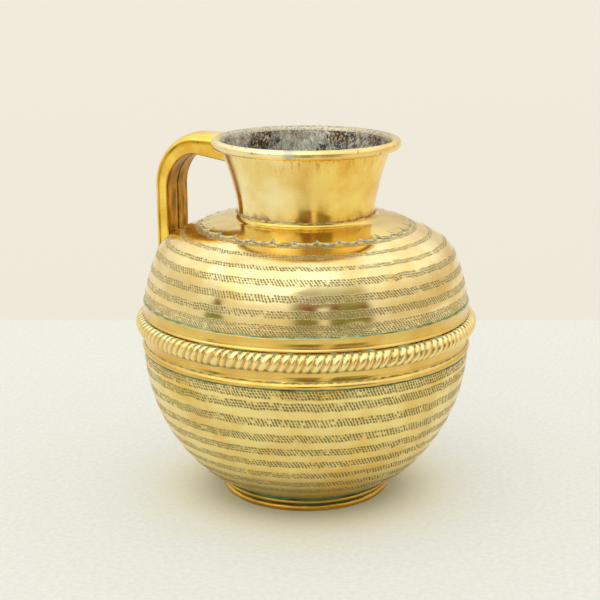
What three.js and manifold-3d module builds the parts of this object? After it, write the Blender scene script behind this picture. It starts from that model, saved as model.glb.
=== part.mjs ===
// Milk pot in sheet brass. Two raised shells are lapped at the belly under a strap with a rope
// moulding, and carry a flared neck on a scalloped collar, a folded hollow handle and a foot ring.
// Units are millimetres. The pot stands on z = 0, its axis is Z and its handle points to -X.
// An outline is a list of [radius, height] points, with the metal on the left of its direction.
import * as THREE from "three";
import { mergeVertices } from "three/addons/utils/BufferGeometryUtils.js";
import Module from "manifold-3d";

// Fits and wall thicknesses
const SOLDER_GAP = 0.3;
const SHELL_WALL = 1.2;
const BAND_WALL = 1.2;
const COLLAR_WALL = 0.9;
const NECK_WALL = 1.1;
const HANDLE_WALL = 1.2;

// Lower bowl: an ellipse that turns into a flat bottom and is set in at the belly joint
const BOWL_RADIUS = 119.3;
const BOWL_DEPTH = 121.5;
const BOWL_CENTRE_HEIGHT = 112;
const BASE_HEIGHT = 9.6;
const BASE_TURN_HEIGHT = 15;
const BASE_TURN_REACH = 7;

// Belly joint: the shoulder laps over the bowl's upright rim, and the band covers both. Their
// heights are taken from the middle of the rope moulding.
const ROPE_CENTRE_HEIGHT = 129;
const BOWL_RIM_ABOVE_ROPE = 9;
const LAP_RADIUS = 117.6;
const LAP_ABOVE_ROPE = 1;
const SET_IN_HEIGHT = 4.2;
const BAND_BELOW_ROPE = 18.4;
const BAND_ABOVE_ROPE = 16.6;
const BAND_EDGE = 0.5;
const BEAD_HEIGHT = 4.8;
const BEAD_RISE = 1.2;
const BEAD_TOP_INSET = 0.4;
const LOWER_COVE = 1;
const UPPER_COVE = 0.5;
const BAND_FILLET_HEIGHT = 2.4;
const BAND_FILLET_RISE = 0.8;

// Rope moulding on the band
const ROPE_HEIGHT = 13;
const ROPE_DEPTH = 5.6;
const ROPE_LOBES = 130;
const ROPE_GROOVE = 1.5;
const ROPE_SLANT = 5.4;

// Shoulder: wall, turn and crown arcs that run into each other
const WALL_ARC_RADIUS = 119.5;
const WALL_ARC_ABOVE_ROPE = 1.3;
const TURN_ARC_RADIUS = 23.5;
const CROWN_ARC_RADIUS = 115;
const TURN_START_ANGLE = 23.8;
const TURN_END_ANGLE = 60.2;
const SHOULDER_EASE = 1.2;

// Neck and its rolled rim
const NECK_RADIUS = 49.9;
const NECK_FLARE = 12.8;
const NECK_FLARE_HEIGHT = 50.35;
const FLARE_POWER = 1.5;
const NECK_LAP = 4;
const RIM_BEAD_RADIUS = 3.55;
const RIM_START_ANGLE = 160;
const RIM_END_ANGLE = -140;

// Collar round the foot of the neck
const COLLAR_RISE = 4.9;
const COLLAR_FILLET = 6;
const SCALLOPS = 30;
const SCALLOP_TIP_RADIUS = 76.8;
const SCALLOP_CUSP_RADIUS = 72.5;

// Handle, measured on the corner between its flat sides and its crowned back
const HANDLE_WIDTH = 32.5;
const HANDLE_REACH = 113.6;
const HANDLE_TOP_DROP = 5.1;
const HANDLE_ARM_SLOPE = 0.02;
const HANDLE_BEND_REACH = 31;
const HANDLE_BEND_DROP = 36;
const HANDLE_LEG_LEAN = 0.005;
const HANDLE_NECK_SIDE = 14.4;
const HANDLE_ARM_SIDE = 10.2;
const HANDLE_LEG_SIDE = 7.8;
const HANDLE_CROWN = 5;
const HANDLE_CHAMFER = 2;
const HANDLE_SEAM = 0.6;
const HANDLE_SUNK_END = 12;

// Foot ring, set in from the corner where the bowl's wall would meet its flat bottom
const FOOT_SET_IN = 1.9;
const FOOT_WAIST_DEPTH = 2.9;
const FOOT_RING_WIDTH = 5.9;
const FOOT_BEAD_HEIGHT = 5.2;
const FOOT_BEAD_RISE = 1.7;
const FOOT_WAIST_HEIGHT = 6.8;
const FOOT_LEDGE_HEIGHT = 8.6;
const FOOT_LAND_WIDTH = 2.6;
const FOOT_CHAMFER = 1;

// Facets: nested round pieces share their corners' angles, so they keep their clearance
const ROUND_STEPS = 36;
const BOWL_STEPS = 8;
const CURVE_STEPS = 3;
const BEAD_STEPS = 4;
const FILLET_STEPS = 2;
const STEPS_PER_SCALLOP = 4;
const STEPS_PER_LOBE = 2;
const FLARE_STEPS = 5;
const ROLL_STEPS = 8;
const BEND_STEPS = 9;

const wasm = await Module();
wasm.setup();

const radians = THREE.MathUtils.degToRad;
const degrees = THREE.MathUtils.radToDeg;
const lerp = THREE.MathUtils.lerp;

// Points of an ellipse round a centre, from one angle to another, in degrees
function ellipseArc([r, z], [across, up], from, to, steps) {
  return Array.from({ length: steps + 1 }, (_, i) => {
    const angle = radians(lerp(from, to, i / steps));
    return [r + across * Math.cos(angle), z + up * Math.sin(angle)];
  });
}

function arc(centre, radius, from, to, steps) {
  return ellipseArc(centre, [radius, radius], from, to, steps);
}

// The point at a distance from a centre, in the direction of an angle in degrees
function polar([r, z], distance, angle) {
  return [r + distance * Math.cos(radians(angle)), z + distance * Math.sin(radians(angle))];
}

// A line between two points that bows outwards, or inwards where the rise is negative
function bowed([r0, z0], [r1, z1], rise, steps) {
  return Array.from({ length: steps + 1 }, (_, i) => {
    const share = i / steps;
    return [lerp(r0, r1, share) + rise * Math.sin(Math.PI * share), lerp(z0, z1, share)];
  });
}

// The outline moved to its left by a distance, with mitred corners; a point on the axis stays on it
function offsetOutline(outline, distance) {
  const normals = outline.slice(1).map(([r, z], i) => {
    const across = new THREE.Vector2(outline[i][1] - z, r - outline[i][0]);
    return across.normalize();
  });
  return outline.map(([r, z], i) => {
    const before = normals[Math.max(i - 1, 0)];
    const after = normals[Math.min(i, normals.length - 1)];
    const mitre = before.clone().add(after);
    mitre.multiplyScalar((2 * distance) / mitre.lengthSq());
    return [r === 0 ? 0 : r + mitre.x, z + mitre.y];
  });
}

// A sheet of one thickness whose outer face is the outline
function sheet(outline, wall) {
  return [...outline, ...offsetOutline(outline, wall).reverse()];
}

// A round piece from a closed outline; an outline that starts on the axis also ends on it
function turned(outline) {
  const closed = outline[0][0] === 0 ? outline : [...outline, outline[0]];
  const points = closed.map(([r, z]) => new THREE.Vector2(r, z));
  return new THREE.LatheGeometry(points, ROUND_STEPS).rotateX(Math.PI / 2);
}

// The point at a radius and height, at an angle from -Y towards +X
function around(radius, height, angle) {
  return [radius * Math.sin(angle), -radius * Math.cos(angle), height];
}

// A closed skin over sections with equally many [x, y, z] points. The sections form a ring, or a
// row whose two ends are closed by the triangles of the given flat cap.
function loft(sections, cap) {
  const size = sections[0].length;
  const last = sections.length - 1;
  const faces = [];
  for (let row = 0; row < (cap ? last : last + 1); row += 1) {
    const next = ((row + 1) % sections.length) * size;
    for (let i = 0; i < size; i += 1) {
      const j = (i + 1) % size;
      faces.push(row * size + i, next + i, row * size + j);
      faces.push(row * size + j, next + i, next + j);
    }
  }
  for (const [a, b, c] of cap ?? []) {
    faces.push(a, b, c);
    faces.push(last * size + a, last * size + c, last * size + b);
  }
  const geometry = new THREE.BufferGeometry();
  geometry.setAttribute("position", new THREE.Float32BufferAttribute(sections.flat(2), 3));
  geometry.setIndex(faces);
  geometry.computeVertexNormals();
  return geometry;
}

function solidFrom(geometry) {
  const bare = geometry.clone();
  bare.deleteAttribute("normal");
  bare.deleteAttribute("uv");
  const merged = mergeVertices(bare);
  return new wasm.Manifold(
    new wasm.Mesh({
      numProp: 3,
      vertProperties: merged.attributes.position.array,
      triVerts: new Uint32Array(merged.index.array),
    }),
  );
}

function geometryFrom(solid) {
  const mesh = solid.getMesh();
  const geometry = new THREE.BufferGeometry();
  geometry.setAttribute("position", new THREE.BufferAttribute(mesh.vertProperties, 3));
  geometry.setIndex(new THREE.BufferAttribute(mesh.triVerts, 1));
  geometry.computeVertexNormals();
  return geometry;
}

// Lower bowl
const BAND_BOTTOM = ROPE_CENTRE_HEIGHT - BAND_BELOW_ROPE;
const BAND_TOP = ROPE_CENTRE_HEIGHT + BAND_ABOVE_ROPE;
const LAP_BOTTOM = ROPE_CENTRE_HEIGHT + LAP_ABOVE_ROPE;
const BOWL_RIM_HEIGHT = ROPE_CENTRE_HEIGHT + BOWL_RIM_ABOVE_ROPE;

function bowlAngleAt(height) {
  return degrees(Math.asin((height - BOWL_CENTRE_HEIGHT) / BOWL_DEPTH));
}

const BASE_TURN_ANGLE = bowlAngleAt(BASE_TURN_HEIGHT);
const BASE_TURN_RADIUS = BOWL_RADIUS * Math.cos(radians(BASE_TURN_ANGLE));
const BASE_SLOPE = -BOWL_DEPTH / BOWL_RADIUS / Math.tan(radians(BASE_TURN_ANGLE));
const BASE_CORNER_RADIUS = BASE_TURN_RADIUS - (BASE_TURN_HEIGHT - BASE_HEIGHT) / BASE_SLOPE;

// The bowl's wall where the joint sets it in, from the belly to the upright rim
function setInOutline() {
  const belly = BOWL_RADIUS * Math.cos(radians(bowlAngleAt(BAND_BOTTOM)));
  const rim = LAP_RADIUS - SHELL_WALL - SOLDER_GAP;
  return Array.from({ length: CURVE_STEPS + 1 }, (_, i) => {
    const share = i / CURVE_STEPS;
    const eased = THREE.MathUtils.smoothstep(share, 0, 1);
    return [lerp(belly, rim, eased), BAND_BOTTOM + SET_IN_HEIGHT * share];
  });
}

function lowerBowl() {
  const centre = [0, BOWL_CENTRE_HEIGHT];
  const axes = [BOWL_RADIUS, BOWL_DEPTH];
  const wall = ellipseArc(centre, axes, BASE_TURN_ANGLE, bowlAngleAt(BAND_BOTTOM), BOWL_STEPS);
  const turn = new THREE.QuadraticBezierCurve(
    new THREE.Vector2(BASE_CORNER_RADIUS - BASE_TURN_REACH, BASE_HEIGHT),
    new THREE.Vector2(BASE_CORNER_RADIUS, BASE_HEIGHT),
    new THREE.Vector2(BASE_TURN_RADIUS, BASE_TURN_HEIGHT),
  );
  const bottom = turn.getPoints(CURVE_STEPS).map((point) => [point.x, point.y]);
  const rim = setInOutline();
  const rimRadius = rim.at(-1)[0];
  const outline = [[0, BASE_HEIGHT], ...bottom, ...wall.slice(1), ...rim.slice(1)];
  return turned(sheet([...outline, [rimRadius, BOWL_RIM_HEIGHT]], SHELL_WALL));
}

// Shoulder shell
const WALL_ARC_HEIGHT = ROPE_CENTRE_HEIGHT + WALL_ARC_ABOVE_ROPE;
const WALL_CENTRE = [0, WALL_ARC_HEIGHT];
const TURN_CENTRE = polar(WALL_CENTRE, WALL_ARC_RADIUS - TURN_ARC_RADIUS, TURN_START_ANGLE);
const CROWN_CENTRE = polar(TURN_CENTRE, TURN_ARC_RADIUS - CROWN_ARC_RADIUS, TURN_END_ANGLE);

// Height of the shoulder's outer face at a radius on its crown
function crownHeightAt(radius) {
  return CROWN_CENTRE[1] + Math.sqrt(CROWN_ARC_RADIUS ** 2 - (radius - CROWN_CENTRE[0]) ** 2);
}

const MOUTH_RADIUS = NECK_RADIUS + SOLDER_GAP;
const MOUTH_HEIGHT = crownHeightAt(MOUTH_RADIUS);
const COLLAR_TOP = MOUTH_HEIGHT + COLLAR_RISE;

// The shoulder's outer face from the belly joint up to the mouth
function shoulderOutline() {
  const wallHeight = BAND_TOP + SHOULDER_EASE - WALL_ARC_HEIGHT;
  const wallStart = degrees(Math.asin(wallHeight / WALL_ARC_RADIUS));
  const crownEnd = degrees(Math.acos((MOUTH_RADIUS - CROWN_CENTRE[0]) / CROWN_ARC_RADIUS));
  return [
    ...arc(WALL_CENTRE, WALL_ARC_RADIUS, wallStart, TURN_START_ANGLE, CURVE_STEPS),
    ...arc(TURN_CENTRE, TURN_ARC_RADIUS, TURN_START_ANGLE, TURN_END_ANGLE, CURVE_STEPS).slice(1),
    ...arc(CROWN_CENTRE, CROWN_ARC_RADIUS, TURN_END_ANGLE, crownEnd, CURVE_STEPS).slice(1),
  ];
}

function shoulderShell() {
  const lap = [
    [LAP_RADIUS, LAP_BOTTOM],
    [LAP_RADIUS, BAND_TOP],
  ];
  return turned(sheet([...lap, ...shoulderOutline()], SHELL_WALL));
}

// Belly band: the strap over the joint, with its bead, the rope's seat between two coves, and
// a fillet along the top of the rope
const ROPE_SEAT_RADIUS = LAP_RADIUS + SOLDER_GAP + BAND_WALL;
const ROPE_BOTTOM = ROPE_CENTRE_HEIGHT - ROPE_HEIGHT / 2;
const ROPE_TOP = ROPE_CENTRE_HEIGHT + ROPE_HEIGHT / 2;

function bellyBand() {
  const inner = offsetOutline(setInOutline(), -SOLDER_GAP).reverse();
  const [footRadius] = inner.at(-1);
  const beadTop = [ROPE_SEAT_RADIUS - BEAD_TOP_INSET, BAND_BOTTOM + BEAD_HEIGHT];
  const filletBottom = [ROPE_SEAT_RADIUS, ROPE_TOP + SOLDER_GAP];
  const filletTop = [ROPE_SEAT_RADIUS, filletBottom[1] + BAND_FILLET_HEIGHT];
  const bandTop = [ROPE_SEAT_RADIUS + SOLDER_GAP, BAND_TOP - BAND_EDGE];
  const lapRadius = LAP_RADIUS + SOLDER_GAP;
  const stepHeight = LAP_BOTTOM - SOLDER_GAP;
  return turned([
    ...bowed([footRadius + BAND_EDGE, BAND_BOTTOM], beadTop, BEAD_RISE, BEAD_STEPS),
    ...bowed(beadTop, [ROPE_SEAT_RADIUS, ROPE_BOTTOM], -LOWER_COVE, CURVE_STEPS).slice(1),
    ...bowed(filletBottom, filletTop, BAND_FILLET_RISE, FILLET_STEPS),
    ...bowed(filletTop, bandTop, -UPPER_COVE, FILLET_STEPS).slice(1),
    [bandTop[0] - BAND_EDGE, BAND_TOP],
    [lapRadius, BAND_TOP],
    [lapRadius, stepHeight],
    [inner[0][0], stepHeight],
    ...inner,
  ]);
}

// Rope moulding: a half-round strip whose face is cut into slanting lobes
function ropeSection(step) {
  const angle = (2 * Math.PI * step) / (ROPE_LOBES * STEPS_PER_LOBE);
  const depth = step % STEPS_PER_LOBE === 0 ? ROPE_DEPTH : ROPE_DEPTH - ROPE_GROOVE;
  const seat = [ROPE_SEAT_RADIUS + SOLDER_GAP, ROPE_CENTRE_HEIGHT];
  const face = ellipseArc(seat, [depth, ROPE_HEIGHT / 2], -90, 90, BEAD_STEPS);
  return face.map(([radius, height]) => {
    const lean = (ROPE_SLANT * (height - ROPE_CENTRE_HEIGHT)) / ROPE_HEIGHT / ROPE_SEAT_RADIUS;
    return around(radius, height, angle + lean);
  });
}

function ropeMoulding() {
  const steps = ROPE_LOBES * STEPS_PER_LOBE;
  return loft(Array.from({ length: steps }, (_, step) => ropeSection(step)));
}

// Neck: a tube that flares along a power curve and rolls outwards over its wire
function flareOutline() {
  return Array.from({ length: FLARE_STEPS + 1 }, (_, i) => {
    const share = i / FLARE_STEPS;
    const radius = NECK_RADIUS - NECK_WALL / 2 + NECK_FLARE * share ** FLARE_POWER;
    return [radius, COLLAR_TOP + NECK_FLARE_HEIGHT * share];
  });
}

const ROLL_RADIUS = RIM_BEAD_RADIUS - NECK_WALL / 2;
const RIM_CENTRE = polar(flareOutline().at(-1), -ROLL_RADIUS, RIM_START_ANGLE);

function neck() {
  const flare = flareOutline();
  const foot = [flare[0][0], MOUTH_HEIGHT - NECK_LAP];
  const roll = arc(RIM_CENTRE, ROLL_RADIUS, RIM_START_ANGLE, RIM_END_ANGLE, ROLL_STEPS);
  const middle = [foot, ...flare, ...roll.slice(1)];
  return turned(sheet(offsetOutline(middle, -NECK_WALL / 2), NECK_WALL));
}

function rimWire() {
  const radius = RIM_BEAD_RADIUS - NECK_WALL - SOLDER_GAP;
  return turned(arc(RIM_CENTRE, radius, 0, 360, ROLL_STEPS).slice(1));
}

// Collar: a short riser round the neck, a fillet, and a skirt whose edge is cut into scallops
function collarSection(step) {
  const angle = (2 * Math.PI * step) / (SCALLOPS * STEPS_PER_SCALLOP);
  const swing = ((2 * step) / STEPS_PER_SCALLOP) % 2 - 1;
  const bulge = Math.sqrt(Math.max(1 - swing * swing, 0));
  const edgeRadius = lerp(SCALLOP_CUSP_RADIUS, SCALLOP_TIP_RADIUS, bulge);
  const riserRadius = MOUTH_RADIUS + COLLAR_WALL;
  const skirtRadius = (MOUTH_RADIUS + SCALLOP_CUSP_RADIUS) / 2;
  const under = (radius) => [radius, crownHeightAt(radius) + SOLDER_GAP];
  const over = (radius) => [radius, crownHeightAt(radius) + SOLDER_GAP + COLLAR_WALL];
  const fillet = new THREE.QuadraticBezierCurve(
    new THREE.Vector2(...over(riserRadius + COLLAR_FILLET)),
    new THREE.Vector2(...over(riserRadius)),
    new THREE.Vector2(riserRadius, COLLAR_TOP),
  );
  const outline = [
    under(MOUTH_RADIUS),
    under(skirtRadius),
    under(edgeRadius),
    over(edgeRadius),
    over(skirtRadius),
    ...fillet.getPoints(FILLET_STEPS).map((point) => [point.x, point.y]),
    [MOUTH_RADIUS, COLLAR_TOP],
  ];
  return outline.map(([radius, height]) => around(radius, height, angle));
}

function neckCollar() {
  const steps = SCALLOPS * STEPS_PER_SCALLOP;
  return loft(Array.from({ length: steps }, (_, step) => collarSection(step)));
}

// Handle: a strip folded to a flat tube, its two edges meeting at a seam on the inner face
const HANDLE_TOP = RIM_CENTRE[1] + RIM_BEAD_RADIUS - HANDLE_TOP_DROP;

// The corner line of the handle as [radius, height, side], from inside the neck to the shoulder,
// where side is how wide the flat sides are there
function handleStations() {
  const bendCentre = [HANDLE_REACH - HANDLE_BEND_REACH, HANDLE_TOP - HANDLE_BEND_DROP];
  const bend = ellipseArc(bendCentre, [HANDLE_BEND_REACH, HANDLE_BEND_DROP], 90, 0, BEND_STEPS);
  const armHeight = HANDLE_TOP - HANDLE_ARM_SLOPE * (bendCentre[0] - NECK_RADIUS);
  const legHeight = TURN_CENTRE[1] - HANDLE_SUNK_END;
  const legRadius = HANDLE_REACH - HANDLE_LEG_LEAN * (bendCentre[1] - legHeight);
  const narrowed = bend.map(([radius, height], i) => {
    return [radius, height, lerp(HANDLE_ARM_SIDE, HANDLE_LEG_SIDE, i / BEND_STEPS)];
  });
  return [
    [NECK_RADIUS, armHeight, HANDLE_NECK_SIDE],
    ...narrowed,
    [legRadius, legHeight, HANDLE_LEG_SIDE],
  ];
}

// The folded strip's section as [across, depth] points, its outer skin then its inner skin
function foldedSection(side) {
  const half = HANDLE_WIDTH / 2;
  const back = ellipseArc([0, 0], [half, -HANDLE_CROWN], 0, 90, BEAD_STEPS);
  const skin = [
    [HANDLE_SEAM / 2, side],
    [half - HANDLE_CHAMFER, side],
    [half, side - HANDLE_CHAMFER],
    ...back,
  ];
  const mirrored = skin.slice(0, -1).map(([across, depth]) => [-across, depth]);
  const outer = [...skin, ...mirrored.reverse()];
  return [...outer, ...offsetOutline(outer, -HANDLE_WALL).reverse()];
}

// Triangles that close the end of the folded strip, two between each outer edge and its inner edge
function foldedCap(size) {
  const cap = [];
  for (let i = 0; i < size / 2 - 1; i += 1) {
    cap.push([i, i + 1, size - 1 - i]);
    cap.push([i + 1, size - 2 - i, size - 1 - i]);
  }
  return cap;
}

function handleBlank() {
  const stations = handleStations();
  const line = offsetOutline(stations, -1);
  const sections = stations.map(([radius, height, side], i) => {
    const [inwardR, inwardZ] = [line[i][0] - radius, line[i][1] - height];
    return foldedSection(side).map(([across, depth]) => {
      return [-radius - inwardR * depth, across, height + inwardZ * depth];
    });
  });
  return loft(sections, foldedCap(sections[0].length));
}

// The room that the pot itself takes, with the solder gap round it, where the handle is cut
function potEnvelope() {
  const body = offsetOutline(shoulderOutline(), -SOLDER_GAP);
  const flare = offsetOutline(flareOutline(), -NECK_WALL / 2 - SOLDER_GAP);
  const rimRadius = RIM_BEAD_RADIUS + SOLDER_GAP;
  const rim = arc(RIM_CENTRE, rimRadius, 0, 360, 2 * ROLL_STEPS).slice(1);
  const ceiling = Math.max(HANDLE_TOP + HANDLE_CROWN, RIM_CENTRE[1]) + rimRadius;
  const mouth = [...flare, RIM_CENTRE, [RIM_CENTRE[0], ceiling]];
  const bodySolid = solidFrom(turned([[0, body[0][1]], ...body, [0, body.at(-1)[1]]]));
  const neckSolid = solidFrom(turned([[0, flare[0][1]], ...mouth, [0, ceiling]]));
  return bodySolid.add(neckSolid).add(solidFrom(turned(rim)));
}

function handle() {
  return geometryFrom(solidFrom(handleBlank()).subtract(potEnvelope()));
}

// Foot ring: a bead on the table, a waist and a ledge close under the bowl
function footRing() {
  const ledgeRadius = BASE_CORNER_RADIUS - FOOT_SET_IN;
  const waistRadius = ledgeRadius - FOOT_WAIST_DEPTH;
  const boreRadius = ledgeRadius - FOOT_RING_WIDTH;
  const landInner = boreRadius + FOOT_CHAMFER;
  const landOuter = landInner + FOOT_LAND_WIDTH;
  const top = BASE_HEIGHT - SOLDER_GAP;
  return turned([
    [landInner, 0],
    ...bowed([landOuter, 0], [landOuter, FOOT_BEAD_HEIGHT], FOOT_BEAD_RISE, BEAD_STEPS),
    [waistRadius, FOOT_BEAD_HEIGHT],
    [waistRadius, FOOT_WAIST_HEIGHT],
    [ledgeRadius, FOOT_WAIST_HEIGHT],
    [ledgeRadius, FOOT_LEDGE_HEIGHT],
    [ledgeRadius - FOOT_CHAMFER, top],
    [boreRadius, top],
    [boreRadius, FOOT_CHAMFER],
  ]);
}

const POLISHED_BRASS = { color: 0xd9b45a, roughness: 0.22, metalness: 1 };
const WORN_BRASS = { color: 0xc9a04a, roughness: 0.32, metalness: 1 };
const DULL_BRASS = { color: 0xb88a35, roughness: 0.45, metalness: 1 };

const pot = new THREE.Group();

function addPiece(name, geometry, finish) {
  const piece = new THREE.Mesh(geometry, new THREE.MeshStandardMaterial(finish));
  piece.name = name;
  pot.add(piece);
}

addPiece("foot_ring", footRing(), DULL_BRASS);
addPiece("lower_bowl", lowerBowl(), WORN_BRASS);
addPiece("belly_band", bellyBand(), POLISHED_BRASS);
addPiece("rope_moulding", ropeMoulding(), POLISHED_BRASS);
addPiece("shoulder_shell", shoulderShell(), WORN_BRASS);
addPiece("neck_collar", neckCollar(), POLISHED_BRASS);
addPiece("neck", neck(), POLISHED_BRASS);
addPiece("rim_wire", rimWire(), DULL_BRASS);
addPiece("handle", handle(), POLISHED_BRASS);

export default pot;
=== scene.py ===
"""The milk pot's finish: hammered brass shells with punched rings, a rope moulding, a scalloped
collar, grey solder, green tarnish in the joints and a wiped tin lining.

Sizes are in millimetres until a mesh is made. The pot stands on z = 0, its axis is Z and its handle
points to -X. An outline is a list of (radius, height) points, with the metal on the left of it.
"""

import math
from functools import partialmethod

import bmesh
import bpy
import numpy as np
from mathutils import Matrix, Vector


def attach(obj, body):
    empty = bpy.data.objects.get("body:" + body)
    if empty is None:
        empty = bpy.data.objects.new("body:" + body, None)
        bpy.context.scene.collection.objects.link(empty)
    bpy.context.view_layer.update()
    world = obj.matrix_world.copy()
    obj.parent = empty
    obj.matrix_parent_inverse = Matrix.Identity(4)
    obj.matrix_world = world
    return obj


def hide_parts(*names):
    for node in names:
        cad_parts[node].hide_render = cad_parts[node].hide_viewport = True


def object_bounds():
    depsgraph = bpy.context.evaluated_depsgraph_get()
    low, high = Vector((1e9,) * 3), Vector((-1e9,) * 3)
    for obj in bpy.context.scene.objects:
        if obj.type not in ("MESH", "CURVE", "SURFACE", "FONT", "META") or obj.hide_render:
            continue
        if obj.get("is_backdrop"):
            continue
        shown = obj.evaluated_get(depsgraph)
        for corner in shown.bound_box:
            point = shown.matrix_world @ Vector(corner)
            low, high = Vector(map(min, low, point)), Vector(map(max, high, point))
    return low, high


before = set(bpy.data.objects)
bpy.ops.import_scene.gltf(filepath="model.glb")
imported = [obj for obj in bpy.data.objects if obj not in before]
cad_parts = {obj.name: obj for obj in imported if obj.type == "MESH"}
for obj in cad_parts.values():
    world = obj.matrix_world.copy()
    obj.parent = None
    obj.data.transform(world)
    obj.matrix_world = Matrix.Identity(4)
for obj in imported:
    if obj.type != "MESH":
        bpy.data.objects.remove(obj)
cad_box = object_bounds()

MM = 0.001
TAU = 2 * math.pi

# The pot's sizes, as its parts have them
SOLDER_GAP = 0.3
SHELL_WALL = 1.2
BOWL_RADIUS, BOWL_DEPTH, BOWL_CENTRE_HEIGHT = 119.3, 121.5, 112
BASE_HEIGHT, BASE_TURN_HEIGHT, BASE_TURN_REACH = 9.6, 15, 7
BOWL_RIM_HEIGHT = 138
LAP_RADIUS, LAP_BOTTOM, SET_IN_HEIGHT = 117.6, 130, 4.2
BAND_BOTTOM, BAND_TOP, BAND_WALL, BAND_EDGE = 110.6, 145.6, 1.2, 0.5
BEAD_HEIGHT, BEAD_RISE, BEAD_TOP_INSET = 4.8, 1.2, 0.4
LOWER_COVE, UPPER_COVE = 1, 0.5
BAND_FILLET_HEIGHT, BAND_FILLET_RISE = 2.4, 0.8
ROPE_SEAT_RADIUS = LAP_RADIUS + SOLDER_GAP + BAND_WALL
ROPE_CENTRE_HEIGHT, ROPE_HEIGHT, ROPE_DEPTH = 129, 13, 5.6
ROPE_BOTTOM = ROPE_CENTRE_HEIGHT - ROPE_HEIGHT / 2
ROPE_TOP = ROPE_CENTRE_HEIGHT + ROPE_HEIGHT / 2
ROPE_LOBES, ROPE_GROOVE, ROPE_SLANT = 130, 1.5, 5.4
WALL_ARC_RADIUS, WALL_ARC_HEIGHT = 119.5, 130.3
TURN_ARC_RADIUS, CROWN_ARC_RADIUS = 23.5, 115
TURN_START_ANGLE, TURN_END_ANGLE = 23.8, 60.2
SHOULDER_EASE = 1.2
NECK_RADIUS, NECK_WALL, NECK_LAP = 49.9, 1.1, 4
NECK_FLARE, NECK_FLARE_HEIGHT, FLARE_POWER = 12.8, 50.35, 1.5
RIM_BEAD_RADIUS, RIM_START_ANGLE, RIM_END_ANGLE = 3.55, 160, -140
COLLAR_WALL, COLLAR_RISE, COLLAR_FILLET = 0.9, 4.9, 6
SCALLOPS, SCALLOP_TIP_RADIUS, SCALLOP_CUSP_RADIUS = 30, 76.8, 72.5
HANDLE_WIDTH, HANDLE_REACH, HANDLE_TOP_DROP = 32.5, 113.6, 5.1
HANDLE_ARM_SLOPE, HANDLE_LEG_LEAN = 0.02, 0.005
HANDLE_BEND_REACH, HANDLE_BEND_DROP = 31, 36
HANDLE_NECK_SIDE, HANDLE_ARM_SIDE, HANDLE_LEG_SIDE = 14.4, 10.2, 7.8
HANDLE_CROWN, HANDLE_CHAMFER, HANDLE_SUNK_END = 5, 2, 12
FOOT_RADIUS, FOOT_WAIST_RADIUS, FOOT_BORE_RADIUS = 62.9, 60, 57
FOOT_BEAD_HEIGHT, FOOT_BEAD_RISE, FOOT_WAIST_HEIGHT = 5.2, 1.7, 6.8
FOOT_LAND_WIDTH, FOOT_CHAMFER = 2.6, 1

# The finish's sizes
COLUMNS = 300
BOWL_RING_RELIEF, SHOULDER_RING_RELIEF = 0.22, 0.05
MARK_PITCH = 2.3
BOWL_RINGS = [23.6, 31.4, 40.7, 51.4, 62.2, 73.6, 85.7, 97.9, 106.3]
BOWL_RING_WIDTH = 6.2
SHOULDER_RINGS = [148.6, 152.4, 160.8, 170.8, 180.8, 188.6, 194.3, 198.6]
SHOULDER_RING_WIDTHS = [3.7, 3.7, 5.2, 5, 4.8, 3.8, 3.6, 3.2]
TIN_COAT = 0.12
BELLY_HEIGHT, CROWN_START, STAIN_TOP, RIM_LINE = 141, 184, 204.5, 255
RIM_CREST_RADIUS, SMEAR_X, SMEAR_Y = 65, 15.8, -65.2

# The view from the front
CAMERA_AZIMUTH, CAMERA_DISTANCE, CAMERA_HEIGHT = 24, 1031, 407
CAMERA_PITCH, CAMERA_LENS, CAMERA_SHIFT = 14.43, 86.6, -0.01
CAMERA_TURN = math.radians(CAMERA_AZIMUTH)
WALL_LINE = 465

WHITE, BLACK = (1, 1, 1, 1), (0, 0, 0, 1)


def tone(red, green, blue):
    """A colour as it is seen, from 0 to 255, as the shader's linear values."""
    shares = [channel / 255 for channel in (red, green, blue)]
    linear = [s / 12.92 if s <= 0.04045 else ((s + 0.055) / 1.055) ** 2.4 for s in shares]
    return (*linear, 1)


# Outlines


def ellipse_arc(centre, across, up, start, end, steps):
    angles = np.radians(np.linspace(start, end, steps + 1))
    return [(centre[0] + across * math.cos(a), centre[1] + up * math.sin(a)) for a in angles]


def arc(centre, radius, start, end, steps):
    return ellipse_arc(centre, radius, radius, start, end, steps)


def polar(centre, distance, angle):
    turn = math.radians(angle)
    return (centre[0] + distance * math.cos(turn), centre[1] + distance * math.sin(turn))


def bowed(start, end, rise, steps):
    """A line between two points that bows outwards, or inwards where the rise is negative."""
    shares = np.linspace(0, 1, steps + 1)
    radii = np.interp(shares, [0, 1], [start[0], end[0]]) + rise * np.sin(np.pi * shares)
    return list(zip(radii, np.interp(shares, [0, 1], [start[1], end[1]])))


def bezier(start, corner, end, steps):
    shares = np.linspace(0, 1, steps + 1)[:, None]
    a, b, c = (np.array(point, float) for point in (start, corner, end))
    points = (1 - shares) ** 2 * a + 2 * shares * (1 - shares) * b + shares**2 * c
    return [tuple(point) for point in points]


def offset_outline(outline, distance):
    """The outline moved to its left, with mitred corners; distance is one value or one a point."""
    points = np.array(outline, float)
    steps = np.diff(points, axis=0)
    normals = np.stack([-steps[:, 1], steps[:, 0]], axis=1)
    normals /= np.linalg.norm(normals, axis=1, keepdims=True)
    mitres = np.vstack([normals[:1], normals]) + np.vstack([normals, normals[-1:]])
    mitres *= 2 / (mitres**2).sum(axis=1, keepdims=True)
    moved = points + mitres * np.broadcast_to(distance, len(points))[:, None]
    moved[points[:, 0] == 0, 0] = 0
    return [tuple(point) for point in moved]


def walked(outline):
    """How far along the outline each of its points is."""
    steps = np.linalg.norm(np.diff(np.array(outline), axis=0), axis=1)
    return np.concatenate([[0], np.cumsum(steps)])


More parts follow.
